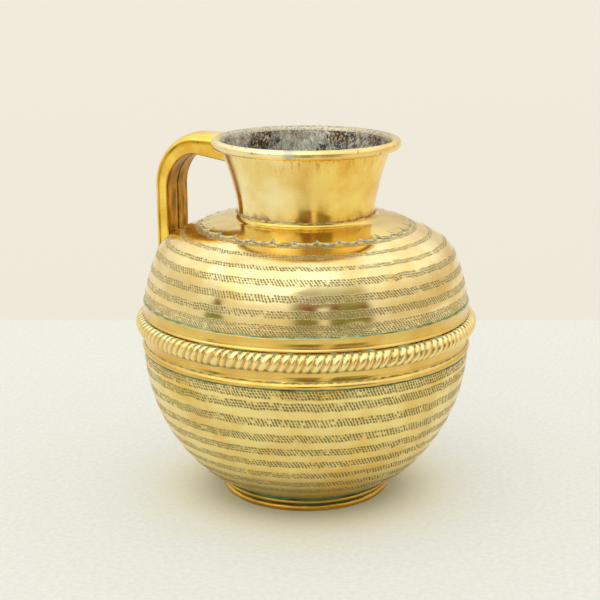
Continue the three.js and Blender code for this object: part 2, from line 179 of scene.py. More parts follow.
def resampled(outline, places):
    distances = walked(outline)
    return list(zip(*(np.interp(places, distances, values) for values in np.array(outline).T)))


# The pot's outlines, bottom to top on the outside


def bowl_angle(height):
    return math.degrees(math.asin((height - BOWL_CENTRE_HEIGHT) / BOWL_DEPTH))


def bowl_outline():
    """The bowl's outer face from the axis up to the belly band."""
    turn_angle = bowl_angle(BASE_TURN_HEIGHT)
    centre, ends = (0, BOWL_CENTRE_HEIGHT), (turn_angle, bowl_angle(BAND_BOTTOM))
    wall = ellipse_arc(centre, BOWL_RADIUS, BOWL_DEPTH, *ends, 120)
    slope = -BOWL_DEPTH / BOWL_RADIUS / math.tan(math.radians(turn_angle))
    corner = wall[0][0] - (BASE_TURN_HEIGHT - BASE_HEIGHT) / slope
    bottom = bezier((corner - BASE_TURN_REACH, BASE_HEIGHT), (corner, BASE_HEIGHT), wall[0], 10)
    flat = [(radius, BASE_HEIGHT) for radius in (0, 15, 30, 45)]
    return flat + bottom + wall[1:]


WALL_CENTRE = (0, WALL_ARC_HEIGHT)
TURN_CENTRE = polar(WALL_CENTRE, WALL_ARC_RADIUS - TURN_ARC_RADIUS, TURN_START_ANGLE)
CROWN_CENTRE = polar(TURN_CENTRE, TURN_ARC_RADIUS - CROWN_ARC_RADIUS, TURN_END_ANGLE)


def crown_height_at(radius):
    return CROWN_CENTRE[1] + math.sqrt(CROWN_ARC_RADIUS**2 - (radius - CROWN_CENTRE[0]) ** 2)


MOUTH_RADIUS = NECK_RADIUS + SOLDER_GAP
MOUTH_HEIGHT = crown_height_at(MOUTH_RADIUS)
COLLAR_TOP = MOUTH_HEIGHT + COLLAR_RISE


def shoulder_outline():
    """The shoulder's outer face from the belly band up to the mouth."""
    start = math.asin((BAND_TOP + SHOULDER_EASE - WALL_ARC_HEIGHT) / WALL_ARC_RADIUS)
    crown_end = math.degrees(math.acos((MOUTH_RADIUS - CROWN_CENTRE[0]) / CROWN_ARC_RADIUS))
    wall = arc(WALL_CENTRE, WALL_ARC_RADIUS, math.degrees(start), TURN_START_ANGLE, 30)
    turn = arc(TURN_CENTRE, TURN_ARC_RADIUS, TURN_START_ANGLE, TURN_END_ANGLE, 24)
    crown = arc(CROWN_CENTRE, CROWN_ARC_RADIUS, TURN_END_ANGLE, crown_end, 40)
    return wall + turn[1:] + crown[1:]


def flare_outline(steps=48):
    """The middle of the neck's wall, from the collar's top to the rolled rim."""
    shares = np.linspace(0, 1, steps + 1)
    radii = NECK_RADIUS - NECK_WALL / 2 + NECK_FLARE * shares**FLARE_POWER
    return list(zip(radii, COLLAR_TOP + NECK_FLARE_HEIGHT * shares))


ROLL_RADIUS = RIM_BEAD_RADIUS - NECK_WALL / 2
RIM_CENTRE = polar(flare_outline()[-1], -ROLL_RADIUS, RIM_START_ANGLE)


def neck_outline():
    """The neck's outer face, from its foot inside the mouth and round the rolled rim."""
    flare = flare_outline()
    roll = arc(RIM_CENTRE, ROLL_RADIUS, RIM_START_ANGLE, RIM_END_ANGLE, 40)
    middle = [(flare[0][0], MOUTH_HEIGHT - NECK_LAP)] + flare + roll[1:]
    return offset_outline(middle, -NECK_WALL / 2)


def grow(value, low, high):
    """0 up to low and 1 from high on, for arrays of heights."""
    return np.clip((value - low) / (high - low), 0, 1)


def fade(value, low, high):
    return 1 - grow(value, low, high)


# Meshes


def linked(thing):
    bpy.context.scene.collection.objects.link(thing)
    return thing


def bare_mesh(name, points, edges=(), faces=()):
    mesh = bpy.data.meshes.new(name)
    mesh.from_pydata([tuple(MM * c for c in point) for point in points], edges, faces)
    return linked(bpy.data.objects.new(name, mesh))


def add_mesh(name, points, faces, **values):
    """A smooth piece with one value for each point for each named attribute."""
    piece = bare_mesh(name, points, faces=faces)
    for label, numbers in values.items():
        attribute = piece.data.attributes.new(label, "FLOAT", "POINT")
        attribute.data.foreach_set("value", np.array(numbers, np.float32))
    face_outwards(piece)
    return piece


def face_outwards(piece):
    """Turns a closed mesh's faces to point out, and makes them smooth."""
    work = bmesh.new()
    work.from_mesh(piece.data)
    bmesh.ops.recalc_face_normals(work, faces=work.faces)
    if work.calc_volume(signed=True) < 0:
        bmesh.ops.reverse_faces(work, faces=work.faces)
    work.to_mesh(piece.data)
    work.free()
    piece.data.shade_smooth()


def turned(name, outline, columns=COLUMNS, **rows):
    """A round piece from a closed outline, which may start and end on the axis. The rows are
    attributes along the outline, and are 0 past their last value."""
    points, faces, starts = [], [], []
    rows = {label: [*row, *[0] * (len(outline) - len(row))] for label, row in rows.items()}
    values = {label: [] for label in rows}
    for index, (radius, height) in enumerate(outline):
        count = 1 if radius == 0 else columns
        starts.append((len(points), count))
        for column in range(count):
            angle = TAU * column / columns
            points.append((radius * math.sin(angle), -radius * math.cos(angle), height))
        for label in rows:
            values[label] += [rows[label][index]] * count
    on_axis = outline[0][0] == 0
    pairs = list(zip(starts, starts[1:])) + ([] if on_axis else [(starts[-1], starts[0])])
    for (low, low_count), (high, high_count) in pairs:
        for column in range(columns):
            after = (column + 1) % columns
            corners = [low + column % low_count, low + after % low_count]
            corners += [high + after % high_count, high + column % high_count]
            faces.append(tuple(dict.fromkeys(corners)))
    return add_mesh(name, points, faces, **values)


def lofted(name, sections, **values):
    """A skin over sections with equally many points, closed at both ends by one face each."""
    size = len(sections[0])
    faces = []
    for row in range(len(sections) - 1):
        for i in range(size):
            j = (i + 1) % size
            a, b = row * size, (row + 1) * size
            faces.append((a + i, b + i, b + j, a + j))
    last = (len(sections) - 1) * size
    faces += [tuple(range(size)), tuple(range(last, last + size))]
    return add_mesh(name, [point for section in sections for point in section], faces, **values)


# Node trees


class Field:
    """A value in a node tree. Each thing done with it adds a node and gives a new field."""

    def __init__(self, tree, socket):
        self.tree, self.socket = tree, socket

    def math(self, operation, *values):
        return self.tree.math(operation, self, *values)

    def root(self):
        return self.larger(0).math("SQRT")

    def ramp(self, low, high, start=0, end=1):
        """Start below low, end above high, with a smooth rise or fall between them."""
        feeds = enumerate((self, low, high, start, end))
        return self.tree.made("ShaderNodeMapRange", feeds, interpolation_type="SMOOTHSTEP")

    def fall(self, low, high):
        return self.ramp(low, high, 1, 0)

    def near(self, centre, low, high):
        """1 up to low away from the centre, and 0 from high away on."""
        return (self - centre).magnitude().fall(low, high)

    def blend(self, first, second):
        """A mix of two colours, with this share of the second."""
        node = self.tree.add("ShaderNodeMix", {0: self, 6: first, 7: second}, data_type="RGBA")
        return self.tree.out(node, 2)

    def wheel(self, size, third=0):
        """A vector that goes round a circle as this angle goes round the pot."""
        return self.tree.vector(self.sin() * size, self.cos() * size, third)

    def split(self):
        node = self.tree.add("ShaderNodeSeparateXYZ", {0: self})
        return [self.tree.out(node, axis) for axis in range(3)]

    def noise(self, scale, detail=2, seed=0):
        feeds = {"Vector": self, "Scale": scale, "Detail": detail, "W": seed}
        return self.tree.made("ShaderNodeTexNoise", feeds, noise_dimensions="4D")

    def chance(self):
        """One random value from 0 to 1 for each different vector."""
        return self.tree.made("ShaderNodeTexWhiteNoise", {"Vector": self})

    def stretched(self, scale, rotation=(0, 0, 0)):
        feeds = {"Vector": self, "Rotation": rotation, "Scale": scale}
        return self.tree.made("ShaderNodeMapping", feeds)

    def scaled(self, scale):
        feeds = {0: self, "Scale": scale}
        return self.tree.made("ShaderNodeVectorMath", feeds, operation="SCALE")

    def spoke(self, distance, rise=0):
        """A vector outwards from the axis at this angle."""
        return self.tree.vector(self.cos() * distance, self.sin() * distance, rise)

    def moved(self, offset):
        """This mesh with its points moved by a vector in millimetres."""
        feeds = {"Geometry": self, "Offset": offset.scaled(MM)}
        return self.tree.made("GeometryNodeSetPosition", feeds)

    def stored(self, label, value):
        """This mesh with the value kept as a named attribute of its points."""
        feeds = {"Geometry": self, "Name": label, "Value": value}
        return self.tree.made("GeometryNodeStoreNamedAttribute", feeds)


SIGNS = {"add": "ADD", "sub": "SUBTRACT", "mul": "MULTIPLY", "truediv": "DIVIDE", "pow": "POWER"}
for sign, kind in SIGNS.items():
    setattr(Field, f"__{sign}__", lambda a, b, kind=kind: a.tree.math(kind, a, b))
    setattr(Field, f"__r{sign}__", lambda b, a, kind=kind: b.tree.math(kind, a, b))

NAMES = {"sin": "SINE", "cos": "COSINE", "floor": "FLOOR", "fract": "FRACT"}
NAMES |= {"magnitude": "ABSOLUTE", "larger": "MAXIMUM"}
for name, kind in NAMES.items():
    setattr(Field, name, partialmethod(Field.math, kind))


class Tree:
    """A node tree with named inputs and outputs, and short ways to add nodes to it."""

    def __init__(self, node_tree):
        self.nodes = node_tree

    def add(self, kind, feeds=(), **settings):
        node = self.nodes.nodes.new(kind)
        for name, value in settings.items():
            setattr(node, name, value)
        for key, value in dict(feeds).items():
            self.feed(node.inputs[key], value)
        return node

    def feed(self, socket, value):
        if isinstance(value, Field):
            self.nodes.links.new(value.socket, socket)
        else:
            socket.default_value = value

    def out(self, node, key=0):
        return Field(self, node.outputs[key])

    def made(self, kind, feeds=(), **settings):
        """The first output of a new node."""
        return self.out(self.add(kind, feeds, **settings))

    def math(self, operation, *values):
        return self.made("ShaderNodeMath", enumerate(values), operation=operation)

    def vector(self, x, y, z=0):
        return self.made("ShaderNodeCombineXYZ", enumerate((x, y, z)))

    def spot(self):
        """A point's object coordinates."""
        if self.nodes.bl_idname == "GeometryNodeTree":
            return self.made("GeometryNodeInputPosition")
        return self.out(self.add("ShaderNodeTexCoord"), "Object")

    def place(self):
        """A point's angle round the axis, and its radius and height in millimetres."""
        x, y, z = self.spot().split()
        return y.math("ARCTAN2", x), (x * x + y * y).root() / MM, z / MM

    def use(self, group, **values):
        """The outputs of a shader group, with its inputs set by their names."""
        node = self.add("ShaderNodeGroup", node_tree=group)
        for key, value in values.items():
            self.feed(node.inputs[titled(key)], value)
        return {socket.name: self.out(node, socket.name) for socket in node.outputs}

    def give(self, **values):
        """Feeds the outputs of a group, and returns its nodes."""
        for name, value in values.items():
            self.feed(self.end.inputs[name], value)
        return self.nodes


def titled(key):
    """A socket's name from a value's name in the code."""
    return key.replace("_", " ").title()


SOCKETS = {
    float: "NodeSocketFloat",
    int: "NodeSocketFloat",
    tuple: "NodeSocketColor",
    "mesh": "NodeSocketGeometry",
    "finish": "NodeSocketMaterial",
}


def add_sockets(node_tree, way, sockets):
    """Named sockets with the given values, or of the kinds mesh and finish."""
    for name, value in sockets.items():
        kind = SOCKETS[value] if isinstance(value, str) else SOCKETS[type(value)]
        socket = node_tree.interface.new_socket(name, in_out=way, socket_type=kind)
        if not isinstance(value, str):
            socket.default_value = value


def new_tree(name, kind, inputs, outputs):
    """A node group with named inputs, as a tree and a table of its input fields."""
    node_tree = bpy.data.node_groups.new(name, kind)
    add_sockets(node_tree, "INPUT", inputs)
    add_sockets(node_tree, "OUTPUT", outputs)
    tree = Tree(node_tree)
    source = tree.add("NodeGroupInput")
    tree.end = tree.add("NodeGroupOutput")
    return tree, {key: tree.out(source, key) for key in inputs}


# Geometry trees


def shape_tree(name, inputs):
    kinds = {"Mesh": "mesh", **inputs, "Finish": "finish"}
    return new_tree(name, "GeometryNodeTree", kinds, {"Mesh": "mesh"})


def end_shape(tree, mesh, finish):
    """Ends a geometry tree: instances become real and the finish is set."""
    real = tree.made("GeometryNodeRealizeInstances", {0: mesh})
    feeds = {"Geometry": real, "Material": finish}
    return tree.give(Mesh=tree.made("GeometryNodeSetMaterial", feeds))


def hammered_tree():
    """Shallow dents over the outer skin, and a slow wander of the whole wall."""
    sizes = {"Dent Depth": 0.1, "Dent Size": 16, "Wander": 0.2, "Wander Size": 70, "Seed": 1}
    tree, given = shape_tree("hammered_skin", sizes)
    spot = tree.spot()
    dents = spot.noise(1 / (given["Dent Size"] * MM), 1, given["Seed"]) - 0.5
    drift = spot.noise(1 / (given["Wander Size"] * MM), 0, given["Seed"]) - 0.5
    outer = tree.made("GeometryNodeInputNamedAttribute", {"Name": "outer"})
    depth = (dents * given["Dent Depth"] + drift * given["Wander"]) * outer
    offset = tree.made("GeometryNodeInputNormal").scaled(depth)
    return end_shape(tree, given["Mesh"].moved(offset), given["Finish"])


def rope_tree():
    """Cuts a half-round ring into slanting lobes, with a crease along their middle."""
    sizes = {
        "Lobes": ROPE_LOBES,
        "Groove Depth": ROPE_GROOVE,
        "Groove Sharpness": 1.3,
        "Slant": ROPE_SLANT,
        "Height": ROPE_HEIGHT,
        "Centre Height": ROPE_CENTRE_HEIGHT,
        "Unevenness": 0.3,
        "Crease Depth": 0.3,
        "Seed": 1,
    }
    tree, given = shape_tree("rope_lobes", sizes)
    angle, radius, height = tree.place()
    rise = 2 * (height - given["Centre Height"]) / given["Height"]
    lean = given["Slant"] * rise / (2 * radius)
    around = angle.spoke(9)
    uneven = (around.noise(1, 2, given["Seed"]) - 0.5) * given["Unevenness"] * 4
    turns = (angle - lean) / TAU * given["Lobes"] + uneven
    across = (turns.fract() - 0.5).magnitude() * 2
    groove = across.ramp(0.15, 1) ** given["Groove Sharpness"]
    front = radius.ramp(ROPE_SEAT_RADIUS + 0.5, ROPE_SEAT_RADIUS + 2)
    worn = tree.vector(turns.floor(), given["Seed"]).chance() * 0.3
    crease = rise.near(-0.3, 0, 0.1) * given["Crease Depth"]
    crease = crease * around.noise(0.7, 1, 5).ramp(0.4, 0.6)
    depth = (groove * given["Groove Depth"] + worn + crease) * front * -1
    mesh = given["Mesh"].moved(angle.spoke(depth))
    mesh = mesh.stored("groove", groove).stored("rise", rise)
    return end_shape(tree, mesh, given["Finish"])


SCALLOP_SIZES = {
    "Scallops": SCALLOPS,
    "Tip Radius": SCALLOP_TIP_RADIUS,
    "Cusp Radius": SCALLOP_CUSP_RADIUS,
    "Crown Radius": CROWN_ARC_RADIUS,
    "Crown Centre": CROWN_CENTRE[0],
}


def scalloped_radius(given, angle):
    """The radius of the scalloped edge at an angle, and how near a cusp it is, from 0 to 1."""
    share = (angle / TAU * given["Scallops"]).fract() * 2 - 1
    bulge = (1 - share * share).root()
    reach = given["Tip Radius"] - given["Cusp Radius"]
    return given["Cusp Radius"] + reach * bulge, 1 - bulge


def crown_fall(given, radius, shift):
    """How much the height of the shoulder's crown changes where a radius is shifted."""
    heights = []
    for reach in (radius + shift, radius):
        across = reach - given["Crown Centre"]
        heights.append((given["Crown Radius"] ** 2 - across * across).root())
    return heights[0] - heights[1]


def scallop_tree():
    """Draws a collar's round skirt in to scallops, along the crown that it lies on."""
    tree, given = shape_tree("scalloped_skirt", {**SCALLOP_SIZES, "Skirt Start": 66})
    angle, radius, _ = tree.place()
    edge, _ = scalloped_radius(given, angle)
    start = given["Skirt Start"]
    share = ((radius - start) / (given["Tip Radius"] - start)).larger(0)
    inward = share * (edge - given["Tip Radius"])
    offset = angle.spoke(inward, crown_fall(given, radius, inward))
    return end_shape(tree, given["Mesh"].moved(offset), given["Finish"])


def seam_tree():
    """A bead of solder or tarnish round the pot. It swells and thins, and where it has scallops
    it follows them along the crown, thicker at the cusps."""
    sizes = {
        "Bead Radius": 0.6,
        "Cover": 1,
        "Unevenness": 0.6,
        "Uneven Size": 6,
        "Cusp Swelling": 0,
        "Cusp Reach": 0,
        "Heavy Side": 0,
        "Side Bias": 0,
        "Seed": 1,
    }
    tree, given = shape_tree("joint_seam", {**sizes, **SCALLOP_SIZES})
    angle, radius, _ = tree.place()
    edge, cusp = scalloped_radius(given, angle)
    scalloped = given["Cusp Swelling"].math("GREATER_THAN", 0)
    shift = scalloped * (edge - radius - given["Cusp Reach"] * cusp**2)
    fall = scalloped * crown_fall(given, radius, shift)
    path = given["Mesh"].moved(angle.spoke(shift, fall))
    grain = tree.spot().noise(1 / (given["Uneven Size"] * MM), 2, given["Seed"]) - 0.5
    swell = given["Cover"] + grain * 2 * given["Unevenness"] + given["Cusp Swelling"] * cusp
    swell = swell + given["Side Bias"] * (angle - given["Heavy Side"]).cos()
    feeds = {
        "Curve": tree.made("GeometryNodeMeshToCurve", {"Mesh": path}),
        "Profile Curve": tree.made("GeometryNodeCurvePrimitiveCircle", {0: 8, "Radius": 1}),
        "Scale": swell.larger(0.02) * given["Bead Radius"] * MM,
    }
    return end_shape(tree, tree.made("GeometryNodeCurveToMesh", feeds), given["Finish"])


def shape(piece, node_tree, finish, **sizes):
    """Runs a geometry tree on a piece with the given sizes, and keeps the plain mesh."""
    modifier = piece.modifiers.new(node_tree.name, "NODES")
    modifier.node_group = node_tree
    for key, value in sizes.items():
        socket = node_tree.interface.items_tree[titled(key)]
        modifier[socket.identifier] = float(value)
    modifier[node_tree.interface.items_tree["Finish"].identifier] = finish
    graph = bpy.context.evaluated_depsgraph_get()
    made = bpy.data.meshes.new_from_object(piece.evaluated_get(graph), depsgraph=graph)
    piece.modifiers.clear()
    piece.data = made
    made.materials.clear()
    made.materials.append(finish)
    face_outwards(piece)
    return piece


def ring_path(name, radius, height, steps):
    """A bare ring of edges, for a seam to follow."""
    angles = [TAU * i / steps for i in range(steps)]
    points = [(radius * math.sin(a), -radius * math.cos(a), height) for a in angles]
    return bare_mesh(name, points, edges=[(i, (i + 1) % steps) for i in range(steps)])


# Shader groups


def shade_group(name, inputs, *outputs):
    """A shader group. Its outputs are numbers, apart from one named Color."""
    kinds = {key: WHITE if key == "Color" else 0 for key in outputs}
    return new_tree(name, "ShaderNodeTree", inputs, kinds)


def camera_sides(vector):
    """How far to the right of the axis a point lies as the camera sees it, and how far ahead."""
    x, y, _ = vector.split()
    right = x * math.cos(CAMERA_TURN) + y * math.sin(CAMERA_TURN)
    return right, x * math.sin(CAMERA_TURN) - y * math.cos(CAMERA_TURN)


def brass_group():
    """Old brass: clouds of warmer colour, fine lines round the pot, scratches and soft dents."""
    inputs = {
        "Bright": tone(240, 212, 132),
        "Warm": tone(214, 164, 66),
        "Cloud Size": 30,
        "Clouds": 0.5,
        "Roughness": 0.2,
        "Lines": 0.3,
        "Dents": 0.3,
        "Seed": 0,
    }
    tree, given = shade_group("old_brass", inputs, "Color", "Roughness", "Height")
    spot = tree.spot()
    angle, _, height = tree.place()
    clouds = spot.noise(1 / (given["Cloud Size"] * MM), 3, given["Seed"])
    flecks = spot.noise(900, 2, given["Seed"])
    patch = clouds.ramp(0.35, 0.7) * given["Clouds"] + (flecks - 0.5) * 0.25
    color = patch.blend(given["Bright"], given["Warm"])
    lines = angle.wheel(2, height * 1.6).noise(1, 4, given["Seed"]) - 0.5
    scratches = spot.stretched((300, 300, 2500)).noise(1, 2, 3) - 0.5
    dents = spot.noise(110, 1, given["Seed"]) - 0.5
    rough = given["Roughness"] + patch * 0.12 + lines * given["Lines"] * 0.15 + scratches * 0.08
    relief = (lines * 0.05 + scratches * 0.012) * given["Lines"] + dents * given["Dents"] * 0.25
    return tree.give(Color=color, Roughness=rough.larger(0.06), Height=relief)


def punch_group():
    """Rows of slanting punch marks round the pot. Ring counts the rings: its whole part is the
    ring's number, and the marks fill its fraction from a quarter to three quarters."""
    inputs = {
        "Ring": 0,
        "Marks": 400,
        "Rows": 3,
        "Slant": 0.45,
        "Length": 0.3,
        "Thickness": 0.42,
        "Wander": 0.3,
        "Gaps": 0.38,
    }
    tree, given = shade_group("punched_rings", inputs, "Fill", "Luck", "Dirt", "Height")
    angle, _, _ = tree.place()
    number = given["Ring"].floor()
    wheel = angle.wheel(3, number * 5)
    drift = (wheel.noise(4, 6, 2) - 0.5) * given["Wander"]
    across = (given["Ring"].fract() + drift - 0.25) * 2
    row_place = across * given["Rows"]
    row = row_place.floor()
    lean = given["Slant"] + (wheel.noise(0.35, 1, 4) - 0.5) * 0.6
    hatched = wheel.noise(0.9, 2, 9).ramp(0.42, 0.58)
    count = angle / TAU * given["Marks"] + lean * row_place
    number_along = count.floor()
    luck = tree.vector(number_along, row, number).chance()
    nudge = tree.vector(number_along, row, number + 50).chance() - 0.5
    size = 0.8 + luck * 0.4
    length = given["Length"] * size * (1.2 - hatched * 0.35)
    thickness = given["Thickness"] * size * (0.85 + hatched * 0.4)
    along = (count.fract() - 0.5 + nudge * 0.2) / length
    over = (row_place.fract() - 0.5 - nudge * 0.1) / thickness
    mark = (along * along + over * over).fall(0.55, 1.2)
    inside = across.near(0.5, 0.46, 0.58)
    strip = angle.wheel(5, number * 9 + row * 3).noise(3.2, 4, 6)
    kept = (strip + luck * 0.2).ramp(given["Gaps"], given["Gaps"] + 0.2)
    fill = mark * inside * (0.15 + kept * 0.85)
    relief = luck * inside * 0.3 - fill
    return tree.give(Fill=fill, Luck=luck, Dirt=inside * kept, Height=relief)


def tarnish_group():
    """Tarnish over a finish where a mask is high: brown at its edge and green at its heart."""
    inputs = {
        "Color": WHITE,
        "Roughness": 0.2,
        "Mask": 0,
        "Patch Size": 4,
        "Brown": tone(112, 80, 30),
        "Green": tone(104, 140, 104),
        "Greenness": 0.5,
        "Seed": 0,
    }
    tree, given = shade_group("tarnish", inputs, "Color", "Roughness", "Metallic")
    spot = tree.spot()
    patches = spot.noise(1 / (given["Patch Size"] * MM), 4, given["Seed"])
    amount = (given["Mask"] + (patches - 0.5) * 0.9).ramp(0.35, 0.75)
    hue = spot.noise(1 / (given["Patch Size"] * MM * 5), 2, given["Seed"] + 3)
    green = (hue + given["Greenness"] - 0.5).ramp(0.35, 0.65)
    color = amount.blend(given["Color"], green.blend(given["Brown"], given["Green"]))
    rough = given["Roughness"] + amount * 0.4
    return tree.give(Color=color, Roughness=rough, Metallic=1 - amount * 0.75)


BRASS = brass_group()
PUNCH = punch_group()
TARNISH = tarnish_group()


class Finish:
    """A material whose Principled shader takes its values from the groups placed in it."""

    def __init__(self, name, bump=0.1, **plain):
        self.material = bpy.data.materials.new(name)
        self.material.use_nodes = True
        self.tree = Tree(self.material.node_tree)
        self.shader = self.material.node_tree.nodes["Principled BSDF"]
        self.bump = bump
        self.feed(plain)

    def feed(self, values):
        for key, value in values.items():
            self.tree.feed(self.shader.inputs[titled(key)], value)

    def attribute(self, label):
        return self.tree.out(self.tree.add("ShaderNodeAttribute", attribute_name=label), "Fac")

    def done(self, height=None, **values):
        self.feed(values)
        if height is not None:
            feeds = {"Height": height, "Distance": self.bump * MM}
            bump = self.tree.add("ShaderNodeBump", feeds)
            self.tree.feed(self.shader.inputs["Normal"], self.tree.out(bump))
        return self.material

    def tarnished(self, height, mask=None, metal_lost=0, **values):
        """Ends a brass finish with tarnish over it, in its hollows or where the mask is high."""
        mask = mask or self.attribute("hollow")
        cover = self.tree.use(TARNISH, mask=mask, **values)
        metal = cover["Metallic"] - metal_lost
        return self.done(
            height, base_color=cover["Color"], roughness=cover["Roughness"], metallic=metal
        )


def punched_brass():
    """The shells: soft polish on the plain bands, paler tones on the shoulder as a painted
    highlight, deeper tones on the bowl, partly tarnish and partly painted shade, and marks filled
    with grey-green tarnish.
    """
    finish = Finish("punched_brass", bump=1, metallic=1)
    tree = finish.tree
    _, _, height = tree.place()
    upper = height.ramp(BELLY_HEIGHT - 1, BELLY_HEIGHT + 1)
    crown = height.ramp(CROWN_START, CROWN_START + 1)
    # Painted light: the shoulder's paler tones are a painted highlight; the bowl's deeper tones are
    # partly tarnish and partly painted shade.
    brass = tree.use(
        BRASS,
        bright=upper.blend(tone(250, 228, 150), tone(254, 235, 174)),
        warm=upper.blend(tone(222, 166, 62), tone(230, 182, 74)),
        roughness=0.2 - upper * 0.08,
        cloud_size=26,
        lines=0.15,
        dents=0.15,
    )
    marks = tree.use(
        PUNCH,
        ring=finish.attribute("ring"),
        marks=finish.attribute("marks"),
        rows=3 - crown,
        length=0.28 + crown * 0.05,
        thickness=0.46 - crown * 0.06,
    )
    fill, dirt = marks["Fill"], marks["Dirt"]
    dull = height.ramp(12, 50, 0.55, 0)
    color = dull.blend(brass["Color"], tone(152, 134, 76))
    stains = tree.spot().noise(26, 5, 9).ramp(0.54, 0.64)
    color = (stains * 0.5 * (1 - upper)).blend(color, tone(234, 184, 62))
    color = (dirt * 0.2).blend(color, tone(140, 138, 92))
    # The fill is lighter on the shoulder, a painted highlight.
    green = upper.blend(tone(64, 78, 60), tone(88, 92, 66))
    brown = upper.blend(tone(104, 102, 62), tone(140, 120, 66))
    old_fill = marks["Luck"].ramp(0.35, 0.65).blend(green, brown)
    return finish.tarnished(
        brass["Height"] * 0.1 + marks["Height"] * 0.18,
        metal_lost=fill * 0.5,
        color=(fill * 0.9).blend(color, old_fill),
        roughness=brass["Roughness"] + dull * 0.15 + dirt * 0.1 + fill * 0.25,
        patch_size=5,
        greenness=0.85,
    )


def neck_finish():
    """The neck: paler on its left and deeper gold on its right as painted light and shade, fine
    lines round it, an amber stain at its foot, brown drips under the rim, and a paler rolled rim
    with a smear of solder in front and tin lapping over it behind."""
    finish = Finish("neck_brass", metallic=1)
    tree = finish.tree
    spot = tree.spot()
    angle, radius, height = tree.place()
    side, ahead = camera_sides(spot)
    # Painted light and shade: the neck is paler on the left, where the light falls, and deeper gold
    # on the right, as the camera sees it.
    right = (side / MM).ramp(-22, 12)
    brass = tree.use(
        BRASS,
        bright=right.blend(tone(255, 238, 178), tone(255, 222, 122)),
        warm=right.blend(tone(246, 212, 122), tone(240, 184, 68)),
        cloud_size=24,
        clouds=0.75,
        lines=0.8,
        dents=0.5,
        seed=3,
    )
    patches = spot.noise(120, 3, 5)
    waves = angle.wheel(4).noise(1.3, 3)
    stain = (height - (waves - 0.5) * 24).fall(208, 216)
    crisp = spot.noise(90, 5, 5).ramp(0.5, 0.56)
    color = (stain * (0.25 + crisp * 0.55)).blend(brass["Color"], tone(168, 106, 34))
    edge = (height - patches * 3).fall(STAIN_TOP, STAIN_TOP + 3)
    color = (edge * 0.7).blend(color, tone(112, 66, 22))
    drips = angle.wheel(22, height * 0.1).noise(1, 4, 2).ramp(0.5, 0.75)
    drips = drips * height.ramp(RIM_LINE - 15, RIM_LINE - 1)
    drips = drips * height.fall(RIM_LINE - 2, RIM_LINE + 1)
    color = (drips * 0.5).blend(color, tone(150, 96, 34))
    rim = height.ramp(RIM_LINE + 0.2, RIM_LINE + 1.6)
    color = (rim * 0.3).blend(color, tone(246, 232, 186))
    spots = spot.noise(330, 2, 7).ramp(0.64, 0.7) * rim
    color = (spots * 0.7).blend(color, tone(120, 104, 66))
    past_crest = radius - (patches - 0.5) * 3 - RIM_CREST_RADIUS
    tinned = past_crest.fall(0.8, 2.2) * rim * (ahead / -MM).ramp(-15, 25)
    grime = spot.noise(640, 4, 6).ramp(0.46, 0.64)
    grime = grime.blend(tone(200, 194, 172), tone(134, 128, 104))
    color = (tinned * 0.85).blend(color, grime)
    x, y, _ = spot.split()
    away_x, away_y = x / MM - SMEAR_X, y / MM - SMEAR_Y
    away = (away_x * away_x + away_y * away_y).root() + (patches - 0.5) * 9
    smear = away.fall(0.5, 6.5) * rim
    lower = height.fall(214, 232)
    return finish.tarnished(
        brass["Height"] + smear * 2,
        color=(smear * 0.85).blend(color, tone(196, 196, 180)),
        roughness=brass["Roughness"] - lower * 0.12 + drips * 0.15 + smear * 0.15 + tinned * 0.2,
        patch_size=3,
        greenness=0.1,
    )


def worn_brass(name, green=0.5, **look):
    """Plain brass with tarnish in its hollows."""
    finish = Finish(name, metallic=1)
    brass = finish.tree.use(BRASS, **look)
    color, rough = brass["Color"], brass["Roughness"]
    return finish.tarnished(
        brass["Height"], color=color, roughness=rough, greenness=green, seed=len(name)
    )


def rope_finish():
    """The rope: pale lobes, painted shade in deeper gold down the grooves, and a dot of grey-green
    at each groove's end.
    """
    finish = Finish("rope_brass", metallic=1)
    brass = finish.tree.use(
        BRASS,
        bright=tone(255, 234, 162),
        warm=tone(240, 198, 104),
        roughness=0.17,
        cloud_size=12,
        lines=0,
        dents=0.4,
    )
    groove = finish.attribute("groove")
    rise = finish.attribute("rise").magnitude()
    ends = rise.ramp(0.62, 0.76) * rise.fall(0.9, 0.97)
    return finish.tarnished(
        brass["Height"],
        mask=groove.ramp(0.3, 0.8) * ends * 1.1 + rise.ramp(0.93, 1) * 0.6,
        # Painted shade: deeper gold down the grooves.
        color=(groove.ramp(0.15, 0.85) * 0.5).blend(brass["Color"], tone(178, 126, 46)),
        roughness=brass["Roughness"],
        patch_size=2,
        brown=tone(132, 112, 62),
        green=tone(146, 158, 126),
        greenness=0.75,
    )


def handle_finish():
    """The handle: bright brass outside, and painted shade in deep amber on the inner face, which
    faces the neck.
    """
    finish = Finish("handle_brass", bump=0.12, metallic=1)
    tree = finish.tree
    brass = tree.use(
        BRASS,
        bright=tone(255, 222, 104),
        warm=tone(220, 160, 42),
        roughness=0.24,
        cloud_size=16,
        clouds=0.6,
        lines=0,
        dents=0.8,
        seed=4,
    )
    streaks = tree.spot().stretched((160, 160, 45)).noise(1, 4, 3)
    inner = finish.attribute("inner")
    # Painted shade and painted reflection: the inner face, turned to the neck, is deep amber with
    # darker streaks.
    amber = streaks.ramp(0.4, 0.62).blend(tone(206, 146, 14), tone(128, 86, 6))
    return finish.tarnished(
        brass["Height"] + streaks * inner,
        color=(inner * 0.95).blend(brass["Color"], amber),
        roughness=brass["Roughness"] + inner * 0.12,
        patch_size=3,
        brown=tone(70, 52, 22),
        green=tone(62, 82, 50),
    )


